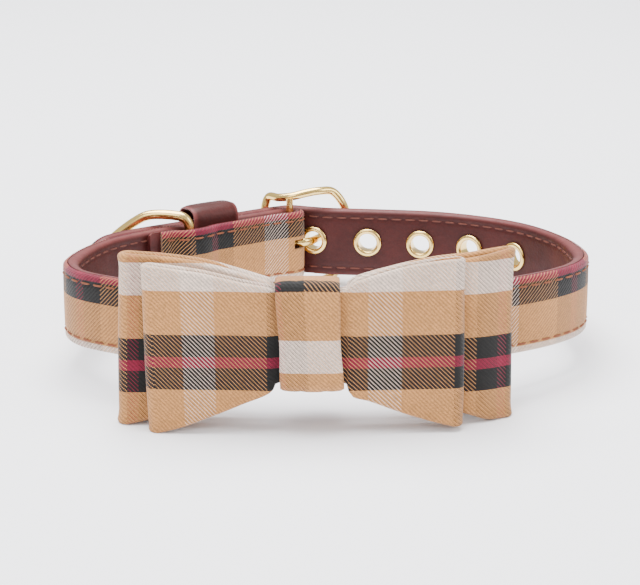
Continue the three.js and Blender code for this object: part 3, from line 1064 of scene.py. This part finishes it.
    def stitches(self, name: str, face: Face) -> bpy.types.Object:
        """Both rows of stitches on one face: rounded bars that dip into the face at their two ends.

        The lining has none under the D-ring's bar, where the fold holds it.
        A point at a share t from -1 to 1 along a stitch stands lift (1 - t^2) proud of the face, and the
        bar's radius there is r sqrt(1 - t^6).

        Args:
            name: the piece's name.
            face: the face that the stitches show on.

        Returns:
            The piece.
        """
        first = self.stitch_pitch * 1.5
        middle = np.arange(first, self.band.length - 7.0, self.stitch_pitch)
        if face is Face.INNER:
            ring = np.array([self.flap_length - self.ring_along, self.start_of_run + self.ring_along])
            middle = middle[(np.abs(middle[:, None] - ring) > self.ring_clear).all(axis=1)]
        shares = np.linspace(-1, 1, 9)
        sides = np.arange(6) * TAU / 6
        row = np.array([-1.0, 1.0])
        along = (middle[:, None, None] + shares[None, :, None] * self.stitch_length / 2) + 0 * row
        height = (self.half(middle)[:, None, None] - self.seam_inset) * row + self.middle
        if face is Face.OUTER:
            base = self.cloth_face + 0.05
        else:
            base = self.half_gap + self.thick(along) - 0.02
        lift = self.stitch_lift * (1 - shares[None, :, None] ** 2) - 0.2
        across = face.value * (base + lift)
        point = self.band.at(along)
        right = self.band.right(along)
        centre = np.concatenate(
            [point + right * across[..., None], np.broadcast_to(height, along.shape)[..., None]], axis=-1
        )
        radius = self.stitch_radius * np.sqrt(1.02 - shares**6)[None, :, None, None, None]
        outward = np.concatenate([right, np.zeros_like(right[..., :1])], axis=-1)[..., None, :]
        ring = outward * np.cos(sides)[:, None] + np.array([0.0, 0.0, 1.0]) * np.sin(sides)[:, None]
        bars = np.moveaxis(centre[..., None, :] + radius * ring, 1, 2)
        bars = STANDING.place(bars.reshape(-1, len(shares), len(sides), 3))
        faces = quads(len(shares), len(sides), False, True)[0]
        if face is Face.OUTER:
            faces = faces[:, ::-1]
        starts = np.arange(len(bars))[:, None, None] * len(shares) * len(sides)
        listed = (faces[None] + starts).reshape(-1, 4).tolist()
        first_ring = np.arange(len(sides))
        last_ring = first_ring + (len(shares) - 1) * len(sides)
        ends = (first_ring, last_ring[::-1]) if face is Face.INNER else (first_ring[::-1], last_ring)
        for end in ends:
            listed += (end[None] + starts[:, 0]).tolist()
        mesh = bpy.data.meshes.new(name)
        mesh.from_pydata(bars.reshape(-1, 3), [], listed)
        return finished(name, mesh)


# Metal


@dataclass
class Eyelets:
    """Five rolled eyelets along the middle of the strap, the first one on the prong."""

    strap: Strap
    first: float = 383.0
    spacing: float = 17.0
    count: int = 5
    hole: float = 2.9
    rim: float = 4.5
    clear: float = 0.45
    flange: float = 0.62
    barrel_wall: float = 0.42
    drill_room: float = 0.75
    drill_reach: float = 4.5

    def seat(self, index: int) -> tuple[np.ndarray, np.ndarray]:
        """Where an eyelet sits.

        Args:
            index: which eyelet.

        Returns:
            Its middle on the strap's line, and its outward direction.
        """
        along = np.array([self.strap.start_of_run + self.first - index * self.spacing])
        point = np.append(self.strap.band.at(along)[0], 0.0)
        outward = np.append(self.strap.band.right(along)[0], 0.0)
        return point, outward

    def turned(self, index: int, radius: np.ndarray, out: np.ndarray, sides: int) -> np.ndarray:
        """A profile turned about an eyelet's axis: c + out n + r (h cos a + z sin a).

        Args:
            index: which eyelet.
            radius: the profile's distances from the axis.
            out: its distances along the axis.
            sides: steps round the axis.

        Returns:
            A profile by sides grid of level points.
        """
        point, outward = self.seat(index)
        beside = np.array([-outward[1], outward[0], 0.0])
        upright = np.array([0.0, 0.0, 1.0])
        angle = (np.arange(sides) * TAU / sides)[:, None]
        wheel = beside * np.cos(angle) + upright * np.sin(angle)
        return point + outward * out[:, None, None] + wheel[None] * radius[:, None, None]

    def ring(self, index: int) -> bpy.types.Object:
        """One eyelet: a barrel with a rolled flange on each face of the strap.

        The roll is half an ellipse from the hole's edge to the rim, out to the flange's height.

        Args:
            index: which eyelet.

        Returns:
            The eyelet.
        """
        outer = self.strap.cloth_face + self.clear
        inner = self.strap.lining_face + self.clear
        lip = 0.5 * (self.rim - self.hole)
        roll = np.linspace(math.pi, 0, 12)
        roll_radius = self.hole + lip + lip * np.cos(roll)
        roll_out = self.flange * np.sin(roll) ** 0.75
        barrel = self.hole + self.barrel_wall
        radius = np.concatenate([roll_radius, [barrel, barrel], roll_radius[::-1]])
        out = np.concatenate([outer + roll_out, [outer - 0.05, -inner + 0.05], -inner - roll_out[::-1]])
        return surface(f"eyelet_ring_{index + 1}", self.turned(index, radius, out, 48), wrap_rows=True)

    def drill(self, index: int) -> bpy.types.Object:
        """The plug that an eyelet's hole is cut with.

        Args:
            index: which eyelet.

        Returns:
            The plug.
        """
        radius = np.full(2, self.hole + self.drill_room)
        out = np.array([-self.drill_reach, self.drill_reach])
        return surface(f"drill_{index + 1}", self.turned(index, radius, out, 40))


@dataclass
class Buckle:
    """The buckle: a cast wire frame, its bar and its prong. along runs to +X from the bar, out to +Y."""

    bar: tuple[float, float] = (-11.2, 63.4)
    raised: float = 0.9
    lean_from: float = 5.0
    lean: float = 0.07
    wire: float = 1.3
    bar_radius: float = 1.1
    bar_half: float = 13.6
    knuckle_radius: float = 1.85
    knuckle_thick: float = 0.45
    knuckle_half: float = 1.1
    tongue_radius: float = 0.95
    tongue_thins: float = 0.2
    tongue_tip: float = 0.93
    tongue_height: float = 1.5
    slot_half: float = 1.5
    slot_radius: float = 4.8
    half_frame: np.ndarray = field(
        default_factory=lambda: rows_of(
            (-8.2, 4.0, 5.9), (-8.1, 9.6, 6.0), (-6.8, 13.2, 6.1), (-3.6, 13.5, 2.9), (0.6, 13.9, 1.2),
            (5.0, 14.6, 1.5), (9.4, 14.75, 2.8), (13.6, 13.8, 5.0), (16.9, 9.6, 5.4), (18.4, 4.2, 5.5),
        )
    )  # fmt: skip
    tongue_plan: np.ndarray = field(
        default_factory=lambda: rows_of(
            (-9.4, 62.9), (-6.8, 62.7), (-4.7, 64.2), (-3.0, 67.0), (-1.5, 69.8), (1.4, 71.4),
            (7.2, 71.7), (10.2, 70.9),
        )
    )  # fmt: skip

    def frame(self) -> bpy.types.Object:
        """The frame: round wire along a smooth closed line through its corners.

        Returns:
            The frame.
        """
        upper = self.half_frame
        lower = upper[::-1] * np.array([1, -1, 1])
        ring = np.concatenate([upper, lower])
        height = self.raised + self.lean * (ring[:, 0] - self.lean_from) + ring[:, 1]
        points = np.stack([self.bar[0] + ring[:, 0], self.bar[1] + ring[:, 2], height], axis=1)
        line = smooth_line(points, closed=True, steps=10)
        grid = tube(line, np.full(len(line), self.wire), np.array([0.0, 1.0, 0.0]), True)
        return surface("buckle_wire", grid, wrap_rows=True)

    def crossbar(self) -> bpy.types.Object:
        """The bar that the strap is folded round, a cylinder from side to side of the frame.

        Returns:
            The bar.
        """
        height = self.raised - self.lean * self.lean_from + np.linspace(-self.bar_half, self.bar_half, 12)
        line = np.stack([np.full(12, self.bar[0]), np.full(12, self.bar[1]), height], axis=1)
        grid = tube(line, np.full(12, self.bar_radius), np.array([0.0, 1.0, 0.0]), False)
        return surface("buckle_bar", grid)

    def knuckle(self) -> bpy.types.Object:
        """The prong's loop round the bar: a squashed circle turned about the bar.

        The section is r + t cos a by h sin(a)^0.6, which squares its corners.

        Returns:
            The loop.
        """
        turn = np.arange(16) * TAU / 16
        radius = self.knuckle_radius + self.knuckle_thick * np.cos(turn)
        height = self.knuckle_half * np.sign(np.sin(turn)) * np.abs(np.sin(turn)) ** 0.6
        angle = (np.arange(40) * TAU / 40)[None]
        grid = np.stack(
            np.broadcast_arrays(
                self.bar[0] + radius[:, None] * np.cos(angle),
                self.bar[1] + radius[:, None] * np.sin(angle),
                height[:, None],
            ),
            axis=-1,
        )
        return surface("prong_loop", grid, wrap_rows=True)

    def tongue(self) -> bpy.types.Object:
        """The prong's tongue, which thins to a rounded tip and is taller than it is deep.

        Its radius is r0 - r1 s at a share s of its length, and a quarter circle closes the tip.

        Returns:
            The tongue.
        """
        flat = smooth_line(self.tongue_plan, steps=12)
        line = np.concatenate([flat, np.zeros((len(flat), 1))], axis=1)
        share = np.linspace(0, 1, len(line))
        tip = np.clip((share - self.tongue_tip) / 0.072, 0, 1)
        radius = (self.tongue_radius - self.tongue_thins * share) * np.sqrt(np.clip(1 - tip**2, 0.01, 1))
        grid = tube(line, radius, np.array([0.0, 0.0, 1.0]), False, 16)
        grid[..., 2] *= self.tongue_height
        return surface("prong_tongue", grid)

    def slot_cutter(self) -> bpy.types.Object:
        """The plug that leaves the slot for the prong in the strap's fold.

        Returns:
            The plug, a short cylinder about the bar.
        """
        height = np.array([-self.slot_half, self.slot_half])
        line = np.stack([np.full(2, self.bar[0]), np.full(2, self.bar[1]), height], axis=1)
        grid = tube(line, np.full(2, self.slot_radius), np.array([0.0, 1.0, 0.0]), False, 40)
        return surface("prong_slot", grid)


@dataclass
class LeadRing:
    """The D-ring: a straight bar in the strap's fold, two slanted sides and a short crown."""

    strap: Strap
    wire: float = 1.5
    bar_off: float = 1.9
    raised: float = -0.4
    turn_deg: float = 42.0
    half_ring: np.ndarray = field(
        default_factory=lambda: rows_of(
            (0, 3.0), (0, 11.2), (1.4, 13.4), (4.5, 14.2),
            (12.6, 14.0), (17.0, 11.8), (24.2, 6.0), (26.6, 2.6),
        )
    )  # fmt: skip

    def ring(self) -> bpy.types.Object:
        """The ring's wire along a smooth closed line in its own upright plane.

        Returns:
            The ring.
        """
        along = np.array([self.strap.ring_along])
        inward = self.strap.lining_face + self.bar_off
        bar = self.strap.neck.at(along)[0] - self.strap.neck.right(along)[0] * inward
        heading = math.radians(180 + self.strap.back_deg - self.turn_deg)
        away = np.array([math.cos(heading), math.sin(heading)])
        ring = np.concatenate([self.half_ring, self.half_ring[::-1] * np.array([1, -1])])
        plan = bar + away * ring[:, :1]
        corners = np.concatenate([plan, self.raised + ring[:, 1:]], axis=1)
        line = smooth_line(corners, closed=True, steps=12)
        square = np.array([-away[1], away[0], 0.0])
        grid = tube(line, np.full(len(line), self.wire), square, True)
        return surface("lead_ring", grid, wrap_rows=True)


# Keeper loop


@dataclass
class Keeper:
    """The leather loop that holds the tail against the strap."""

    strap: Strap
    start: float = 19.5
    end: float = 35.5
    thick: float = 1.3
    low: float = -11.7
    high: float = 14.0
    corner: float = 3.0
    low_corner: float = 1.0
    room: float = 0.3
    crown: float = 0.1
    crease: float = 0.12

    def loop(self) -> bpy.types.Object:
        """A soft band round the strap: a rounded box's outline, its section bulged across the band.

        The outline is four corner arcs joined by straight sides. The band's face stands crown (1 - w^2)
        proud of its edges at a share w of its half width, less a narrow crease along each edge.

        Returns:
            The keeper loop.
        """
        strap = self.strap
        middle = np.array([(self.start + self.end) / 2])
        point, right = strap.neck.at(middle)[0], strap.neck.right(middle)[0]
        ahead = np.array([-right[1], right[0]])
        tail = strap.cloth_face + self.room + strap.lining_face + strap.cloth_face
        reach = self.thick / 2 + self.room
        left, far = -strap.lining_face - reach, tail + reach
        low, high = self.low - self.thick / 2, self.high + self.thick / 2
        corners = (
            (far - self.corner, high - self.corner, 0, self.corner),
            (left + self.corner, high - self.corner, 90, self.corner),
            (left + self.low_corner, low + self.low_corner, 180, self.low_corner),
            (far - self.low_corner, low + self.low_corner, 270, self.low_corner),
        )
        outline = np.concatenate(
            [
                np.stack(
                    [
                        x + r * np.cos(np.radians(turn + np.linspace(0, 90, 9))),
                        z + r * np.sin(np.radians(turn + np.linspace(0, 90, 9))),
                    ],
                    axis=1,
                )
                for x, z, turn, r in corners
            ]
        )
        closed = Line(np.concatenate([outline, outline[:1]]))
        count = 110
        along = np.arange(count) * closed.length / count
        spots, out = closed.at(along), closed.right(along)
        half = (self.end - self.start) / 2
        share = np.concatenate([np.linspace(-1, 1, 13), np.linspace(1, -1, 13)])
        side = np.concatenate([np.ones(13), -np.ones(13)])
        soft = np.sqrt(np.clip(1 - np.abs(share) ** 7, 0, 1))
        crease = self.crease * np.exp(-(((np.abs(share) - 0.78) / 0.06) ** 2))
        proud = np.where(side > 0, self.crown * (1 - share**2) - crease, 0)
        away = side * self.thick / 2 * (0.35 + 0.65 * soft) + proud
        place = spots[:, None] + out[:, None] * away[None, :, None]
        plan = point + right * place[..., :1] + ahead * (share * half)[None, :, None]
        grid = np.concatenate([plan, place[..., 1:]], axis=-1)
        rim = np.broadcast_to((np.abs(share) > 0.9) * 0.8, grid.shape[:2])
        return surface("keeper_band", grid, wrap_rows=True, rim=rim, soft_angle=75)


# Bow


@dataclass(frozen=True)
class LoopCut:
    """How one loop's cloth is cut and stands.

    lip is how much thicker than the wall its hems are, lean is how far the left fold's top and bottom
    stand to the right of the table's place, and shift is where the bands start along and up the loop.
    """

    lip: float
    lean: tuple[float, float]
    shift: tuple[float, float]


@dataclass
class Bow:
    """The bow: two flattened cloth loops, one behind the other, and the knot round both and the strap.

    A loop's table holds the place along X, the middles of its front and back walls along Y, and its
    lower and upper edges.
    """

    cloth: float = 1.4
    front_cut: LoopCut = LoopCut(0.1, (0.3, 1.7), (33.0, 28.0))
    rear_cut: LoopCut = LoopCut(0.45, (1.2, 0.0), (20.0, 31.0))
    front_table: np.ndarray = field(
        default_factory=lambda: rows_of(
            (-46.6, -46.2, -42.6, -25.8, 20.5), (-40.0, -46.6, -42.7, -24.1, 19.6),
            (-33.0, -46.8, -42.9, -21.6, 18.6), (-22.2, -47.3, -43.6, -17.3, 16.2),
            (-14.6, -47.8, -44.6, -13.7, 14.9), (-13.3, -47.3, -44.6, -11.5, 14.2),
            (5.4, -47.3, -44.6, -11.5, 14.2), (6.8, -47.8, -44.6, -14.8, 16.0),
            (11.5, -47.4, -43.9, -16.4, 17.8), (20.6, -46.7, -43.1, -20.0, 20.3),
            (28.5, -46.1, -42.7, -22.6, 21.6), (34.4, -45.6, -42.5, -24.2, 22.1),
        )
    )  # fmt: skip
    rear_table: np.ndarray = field(
        default_factory=lambda: rows_of(
            (-53.6, -40.8, -37.2, -25.2, 22.4), (-42.0, -40.8, -37.0, -22.4, 21.4),
            (-32.0, -41.0, -37.1, -19.6, 19.9), (-17.6, -42.0, -38.0, -15.4, 16.0),
            (-14.6, -42.5, -38.4, -14.0, 15.0), (-13.6, -42.7, -38.8, -10.9, 13.0),
            (5.4, -42.7, -38.8, -10.9, 13.0), (6.8, -42.5, -38.2, -14.0, 15.0),
            (18.0, -41.4, -36.8, -17.0, 18.2), (29.0, -40.8, -35.6, -19.9, 20.4),
            (37.5, -40.2, -34.0, -22.2, 21.0), (43.5, -38.6, -33.0, -24.4, 21.8),
            (48.0, -36.2, -33.0, -24.8, 22.6),
        )
    )  # fmt: skip
    knot_profile: np.ndarray = field(
        default_factory=lambda: rows_of(
            (-49.0, 13.9), (-47.6, 15.4), (-40.4, 15.5), (-32.1, 11.6), (-31.2, 10.4), (-31.2, -11.6),
            (-32.4, -12.6), (-42.0, -13.2), (-47.8, -12.6), (-49.0, -11.4),
        )
    )  # fmt: skip
    knot_left: float = -12.7
    knot_right: float = 4.3
    knot_lean: float = 0.045
    knot_cloth: tuple[float, float] = (30.0, 26.0)

    def walls(self, table: np.ndarray) -> tuple[np.ndarray, np.ndarray, np.ndarray]:
        """The closed line of a loop: front wall, round one end, back wall, round the other.

        The end is a half circle between the two walls, and the walls follow smooth lines through the
        table's rows.

        Args:
            table: the loop's table.

        Returns:
            The line's points in the plan, and the lower and upper edges at each of them.
        """
        smooth = smooth_line(table, steps=9)
        x, front, back, low, high = smooth.T
        turn = np.linspace(0, math.pi, 14)[1:-1]

        def bend(row: np.ndarray, way: int) -> np.ndarray:
            """The points of the half circle past one end of the loop.

            Args:
                row: the table's row at that end.
                way: 1 for the right end and -1 for the left one.

            Returns:
                The plan's two columns, then the lower and upper edges.
            """
            radius = (row[2] - row[1]) / 2
            swing = -way * np.cos(turn)
            plan = [row[0] + way * radius * np.sin(turn), row[1] + radius * (1 + swing)]
            edges = [np.full(len(turn), row[3]), np.full(len(turn), row[4])]
            return np.stack(plan + edges, axis=1)

        forward = np.stack([x, front, low, high], axis=1)
        backward = np.stack([x, back, low, high], axis=1)[::-1]
        whole = np.concatenate([forward, bend(smooth[-1], 1), backward, bend(smooth[0], -1)])
        return whole[:, :2], whole[:, 2], whole[:, 3]

    def loop(self, name: str, table: np.ndarray, cut: LoopCut) -> bpy.types.Object:
        """One loop: a wall of doubled cloth carried round its line.

        Across the wall, the outline is a straight middle and two rolled edges, a little thicker than
        the rest, and the wall ripples by 0.25 sin(a) sin(b) towards the knot. Towards the left fold the
        wall leans: its top moves to the right by the first lean and its bottom by the second.

        Args:
            name: the piece's name.
            table: the loop's table.
            cut: its lip, lean and shift.

        Returns:
            The piece.
        """
        plan, low, high = self.walls(table)
        line = Line(np.concatenate([plan, plan[:1]]))
        count = int(line.length / 0.9)
        along = np.arange(count) * line.length / count
        places = line.along
        low = np.interp(along, places, np.append(low, low[0]))[:, None]
        high = np.interp(along, places, np.append(high, high[0]))[:, None]
        right = line.right(np.where(along < 0.5, 0.5, along))
        edge = self.cloth / 2 + cut.lip
        face = np.linspace(0, 1, 34)[None]
        hem = 1.0 + 2 * cut.lip
        half = self.cloth / 2 * (1 - 0.12 * np.exp(-(((face * (high - low) - hem) / 0.4) ** 2)))
        rolled = np.exp(-((face * (high - low) / (hem * 0.8)) ** 2)) + np.exp(
            -(((1 - face) * (high - low) / (hem * 0.8)) ** 2)
        )
        half = half + cut.lip * rolled
        up = low + edge + face * (high - low - 2 * edge)
        arc = np.linspace(0, math.pi, 8)[1:-1]
        top_up = high - edge + edge * np.sin(arc)[None]
        top_across = edge * np.cos(arc)[None] + 0 * top_up
        low_up = low + edge - edge * np.sin(arc)[None]
        across = np.concatenate([-top_across, half, top_across, -half[:, ::-1]], axis=1)
        height = np.concatenate([low_up, up, top_up, up[:, ::-1]], axis=1)
        x = line.at(along)[:, :1]
        pull = np.exp(-(((x + 4) / 26) ** 2))
        ripple = 0.22 * pull * np.sin(height / 2.9 + 0.03 * x) + 0.16 * np.sin(height / 9 + x / 13)
        grid = swept(line.at(along), right, across + ripple, height)
        left = np.clip((-22.0 - x) / 26.0, 0, 1)
        rise = (height - low) / (high - low)
        grid[..., 0] += left * (cut.lean[1] + (cut.lean[0] - cut.lean[1]) * rise)
        steps = np.hypot(
            np.diff(across, axis=1, append=across[:, :1]), np.diff(height, axis=1, append=height[:, :1])
        )
        girth = np.concatenate([np.zeros((count, 1)), np.cumsum(steps, axis=1)], axis=1)
        girth -= girth[:, len(arc) : len(arc) + 1]
        u = np.append(along, line.length)[:, None] + cut.shift[0]
        v = np.concatenate([low + girth, (low + girth)[:1]], axis=0) + cut.shift[1]
        uv = np.stack(np.broadcast_arrays(u, v), axis=-1) / MM_PER_METRE
        return surface(name, grid, wrap_rows=True, uv=uv, soft_angle=80)

    def knot(self) -> bpy.types.Object:
        """The knot: a soft band round the loops, pinched at its waist and pillowed between its edges.

        Its face stands 0.45 (1 - w^2) proud at a share w of its half width, less two shallow folds.

        Returns:
            The knot.
        """
        closed = smooth_line(self.knot_profile, closed=True, steps=10)
        line = Line(np.concatenate([closed, self.knot_profile[:1]]))
        count = 150
        along = np.arange(count) * line.length / count
        spots = line.at(along)
        out = line.right(np.where(along < 0.5, 0.5, along))
        share = np.concatenate([np.linspace(-1, 1, 23), np.linspace(1, -1, 23)])
        side = np.concatenate([-np.ones(23), np.ones(23)])
        soft = np.sqrt(np.clip(1 - np.abs(share) ** 9, 0, 1))
        left_fold = 0.22 * np.exp(-(((share + 0.35) / 0.11) ** 2))
        right_fold = 0.18 * np.exp(-(((share - 0.42) / 0.1) ** 2))
        in_front = np.clip((-spots[:, :1] - 40) / 8, 0, 1)
        proud = (0.45 * (1 - share**2) - (left_fold + right_fold))[None] * in_front
        outer = np.where(side < 0, -1, 0)[None]
        away = side[None] * self.cloth / 2 * (0.3 + 0.7 * soft)[None] + outer * proud
        place = spots[:, None] + out[:, None] * away[..., None]
        lean = -self.knot_lean * spots[:, 1:]
        waist = 0.45 * np.exp(-((spots[:, 1:] / 7) ** 2)) * in_front
        middle = (self.knot_left + self.knot_right) / 2 + lean
        x = middle + share[None] * ((self.knot_right - self.knot_left) / 2 - waist)
        grid = np.concatenate([x[..., None], place], axis=-1)
        u = np.broadcast_to(share, (count + 1, len(share))) * (self.knot_right - self.knot_left) / 2
        u = np.concatenate([u, u[:, :1]], axis=1) + self.knot_cloth[0]
        v = np.append(along, line.length)[:, None] + 0 * u
        uv = np.stack([u, v + self.knot_cloth[1]], axis=-1) / MM_PER_METRE
        return surface("bow_band", grid, wrap_rows=True, uv=uv, soft_angle=80)


# Studio


@dataclass(frozen=True)
class Lamp:
    """A square soft light: its name, where it stands and its side in metres, and its watts."""

    name: str
    at: tuple[float, float, float]
    size: float
    power: float


@dataclass
class Studio:
    """The table, the lights and the camera."""

    camera_at: tuple[float, float, float] = (-0.0023, -0.5277, 0.2170)
    camera_down_deg: float = 20.7
    lens: float = 108.28
    floor_half: float = 3.0
    floor_tones: tuple[tuple[float, ...], ...] = ((0.94, 0.945, 0.99, 1.0), (0.96, 0.965, 1.0, 1.0))
    room_light: float = 0.85
    lamps: tuple[Lamp, ...] = (
        Lamp("top_light", (-0.1, 0.15, 1.0), 0.9, 38.0),
        Lamp("front_light", (-0.5, -1.0, 0.8), 0.6, 5.0),
        Lamp("side_light", (0.9, -0.3, 0.6), 0.5, 5.0),
    )

    def floor(self) -> bpy.types.Object:
        """A wide plain table top under the collar.

        Returns:
            The table top.
        """
        mesh = bpy.data.meshes.new("table_top")
        half = self.floor_half
        corners = [(-half, -half, 0), (half, -half, 0), (half, half, 0), (-half, half, 0)]
        mesh.from_pydata(corners, [], [(0, 1, 2, 3)])
        made = finished("table_top", mesh)
        material = bpy.data.materials.new("table_paper")
        material.use_nodes = True
        wires = Wiring(material.node_tree)
        shader = material.node_tree.nodes["Principled BSDF"]
        place = wires.node("ShaderNodeTexCoord").outputs["Object"]
        tone = wires.noise(place, 3.0)
        wires.feed(shader.inputs["Base Color"], wires.blend(tone, *self.floor_tones))
        shader.inputs["Roughness"].default_value = 0.7
        shader.inputs["Specular IOR Level"].default_value = 0.2
        mesh.materials.append(material)
        return made

    def light(self, lamp: Lamp) -> None:
        """Hangs a lamp so that it faces the collar.

        Args:
            lamp: the lamp's sizes.
        """
        data = bpy.data.lights.new(lamp.name, "AREA")
        data.size = lamp.size
        data.energy = lamp.power
        hung = bpy.data.objects.new(lamp.name, data)
        hung.location = lamp.at
        towards = np.array([0.0, 0.0, 0.02]) - np.array(lamp.at)
        yaw = math.atan2(towards[1], towards[0]) - math.pi / 2
        pitch = math.atan2(math.hypot(towards[0], towards[1]), -towards[2])
        hung.rotation_euler = (pitch, 0.0, yaw)
        bpy.context.scene.collection.objects.link(hung)

    def build(self) -> None:
        """Sets the table, the lamps, a white room and the camera."""
        self.floor()
        for lamp in self.lamps:
            self.light(lamp)
        room = bpy.data.worlds.new("white_room")
        room.use_nodes = True
        room.node_tree.nodes["Background"].inputs[0].default_value = (1.0, 1.0, 1.0, 1.0)
        room.node_tree.nodes["Background"].inputs[1].default_value = self.room_light
        bpy.context.scene.world = room
        data = bpy.data.cameras.new("camera")
        data.lens = self.lens
        data.sensor_width = 36.0
        data.clip_start = 0.01
        camera = bpy.data.objects.new("camera", data)
        camera.location = self.camera_at
        camera.rotation_euler = (math.radians(90 - self.camera_down_deg), 0.0, 0.0)
        bpy.context.scene.collection.objects.link(camera)
        bpy.context.scene.camera = camera


def sheet_area(piece: bpy.types.Object) -> float:
    """The area of the cloth in a piece, which is half of its closed surface.

    Args:
        piece: the piece.

    Returns:
        The area in square metres.
    """
    areas = np.zeros(len(piece.data.polygons))
    piece.data.polygons.foreach_get("area", areas)
    return float(areas.sum() / 2)


def main() -> None:
    """Builds the collar, piece by piece, and logs each one."""
    logging.basicConfig(level=logging.INFO, format="%(message)s")
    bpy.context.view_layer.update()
    Studio().build()
    finishes = Finishes()
    cloth = PlaidCloth().material(finishes)
    leather = Leather().material(finishes)
    metal = GoldMetal().material(finishes)
    thread = Thread().material(finishes)
    dull_thread = Thread("lining_thread", linear(112, 54, 38), linear(66, 28, 22)).material(finishes)

    strap, buckle = Strap(), Buckle()
    eyelets = Eyelets(strap)
    cover = strap.layer("strap_cloth", Face.OUTER)
    lining = strap.layer("strap_leather", Face.INNER)
    for layer in (cover, lining):
        cut_out(layer, [eyelets.drill(i) for i in range(eyelets.count)] + [buckle.slot_cutter()])
    wear(cover, cloth, stands_for=("strap_cover",))
    wear(lining, leather, stands_for=("strap_lining",))
    wear(strap.stitches("cloth_stitches", Face.OUTER), thread)
    wear(strap.stitches("lining_stitches", Face.INNER), dull_thread)
    for index in range(eyelets.count):
        wear(eyelets.ring(index), metal, stands_for=(f"eyelet_{index + 1}",))
    wear(buckle.frame(), metal, stands_for=("buckle_frame",))
    wear(buckle.crossbar(), metal)
    wear(buckle.knuckle(), metal, stands_for=("buckle_prong",))
    wear(buckle.tongue(), metal)
    wear(LeadRing(strap).ring(), metal, body="d_ring", stands_for=("d_ring",))
    wear(Keeper(strap).loop(), leather, stands_for=("keeper_loop",))

    bow = Bow()
    rear = bow.loop("bow_rear_loop", bow.rear_table, bow.rear_cut)
    front = bow.loop("bow_front_loop", bow.front_table, bow.front_cut)
    knot = bow.knot()
    wear(rear, cloth, stands_for=("bow_rear",))
    wear(front, cloth, stands_for=("bow_front",))
    wear(knot, cloth, stands_for=("bow_knot",))
    sheets = (
        (cover, 0.0235, "stretched"),
        (rear, 0.049, "folded"),
        (front, 0.048, "folded"),
        (knot, 0.017, "folded"),
    )
    for piece, width, held in sheets:
        area = sheet_area(piece)
        LOG.info("%s: %.5f square metres of cloth", piece.name, area)


if __name__ == "__main__":
    main()
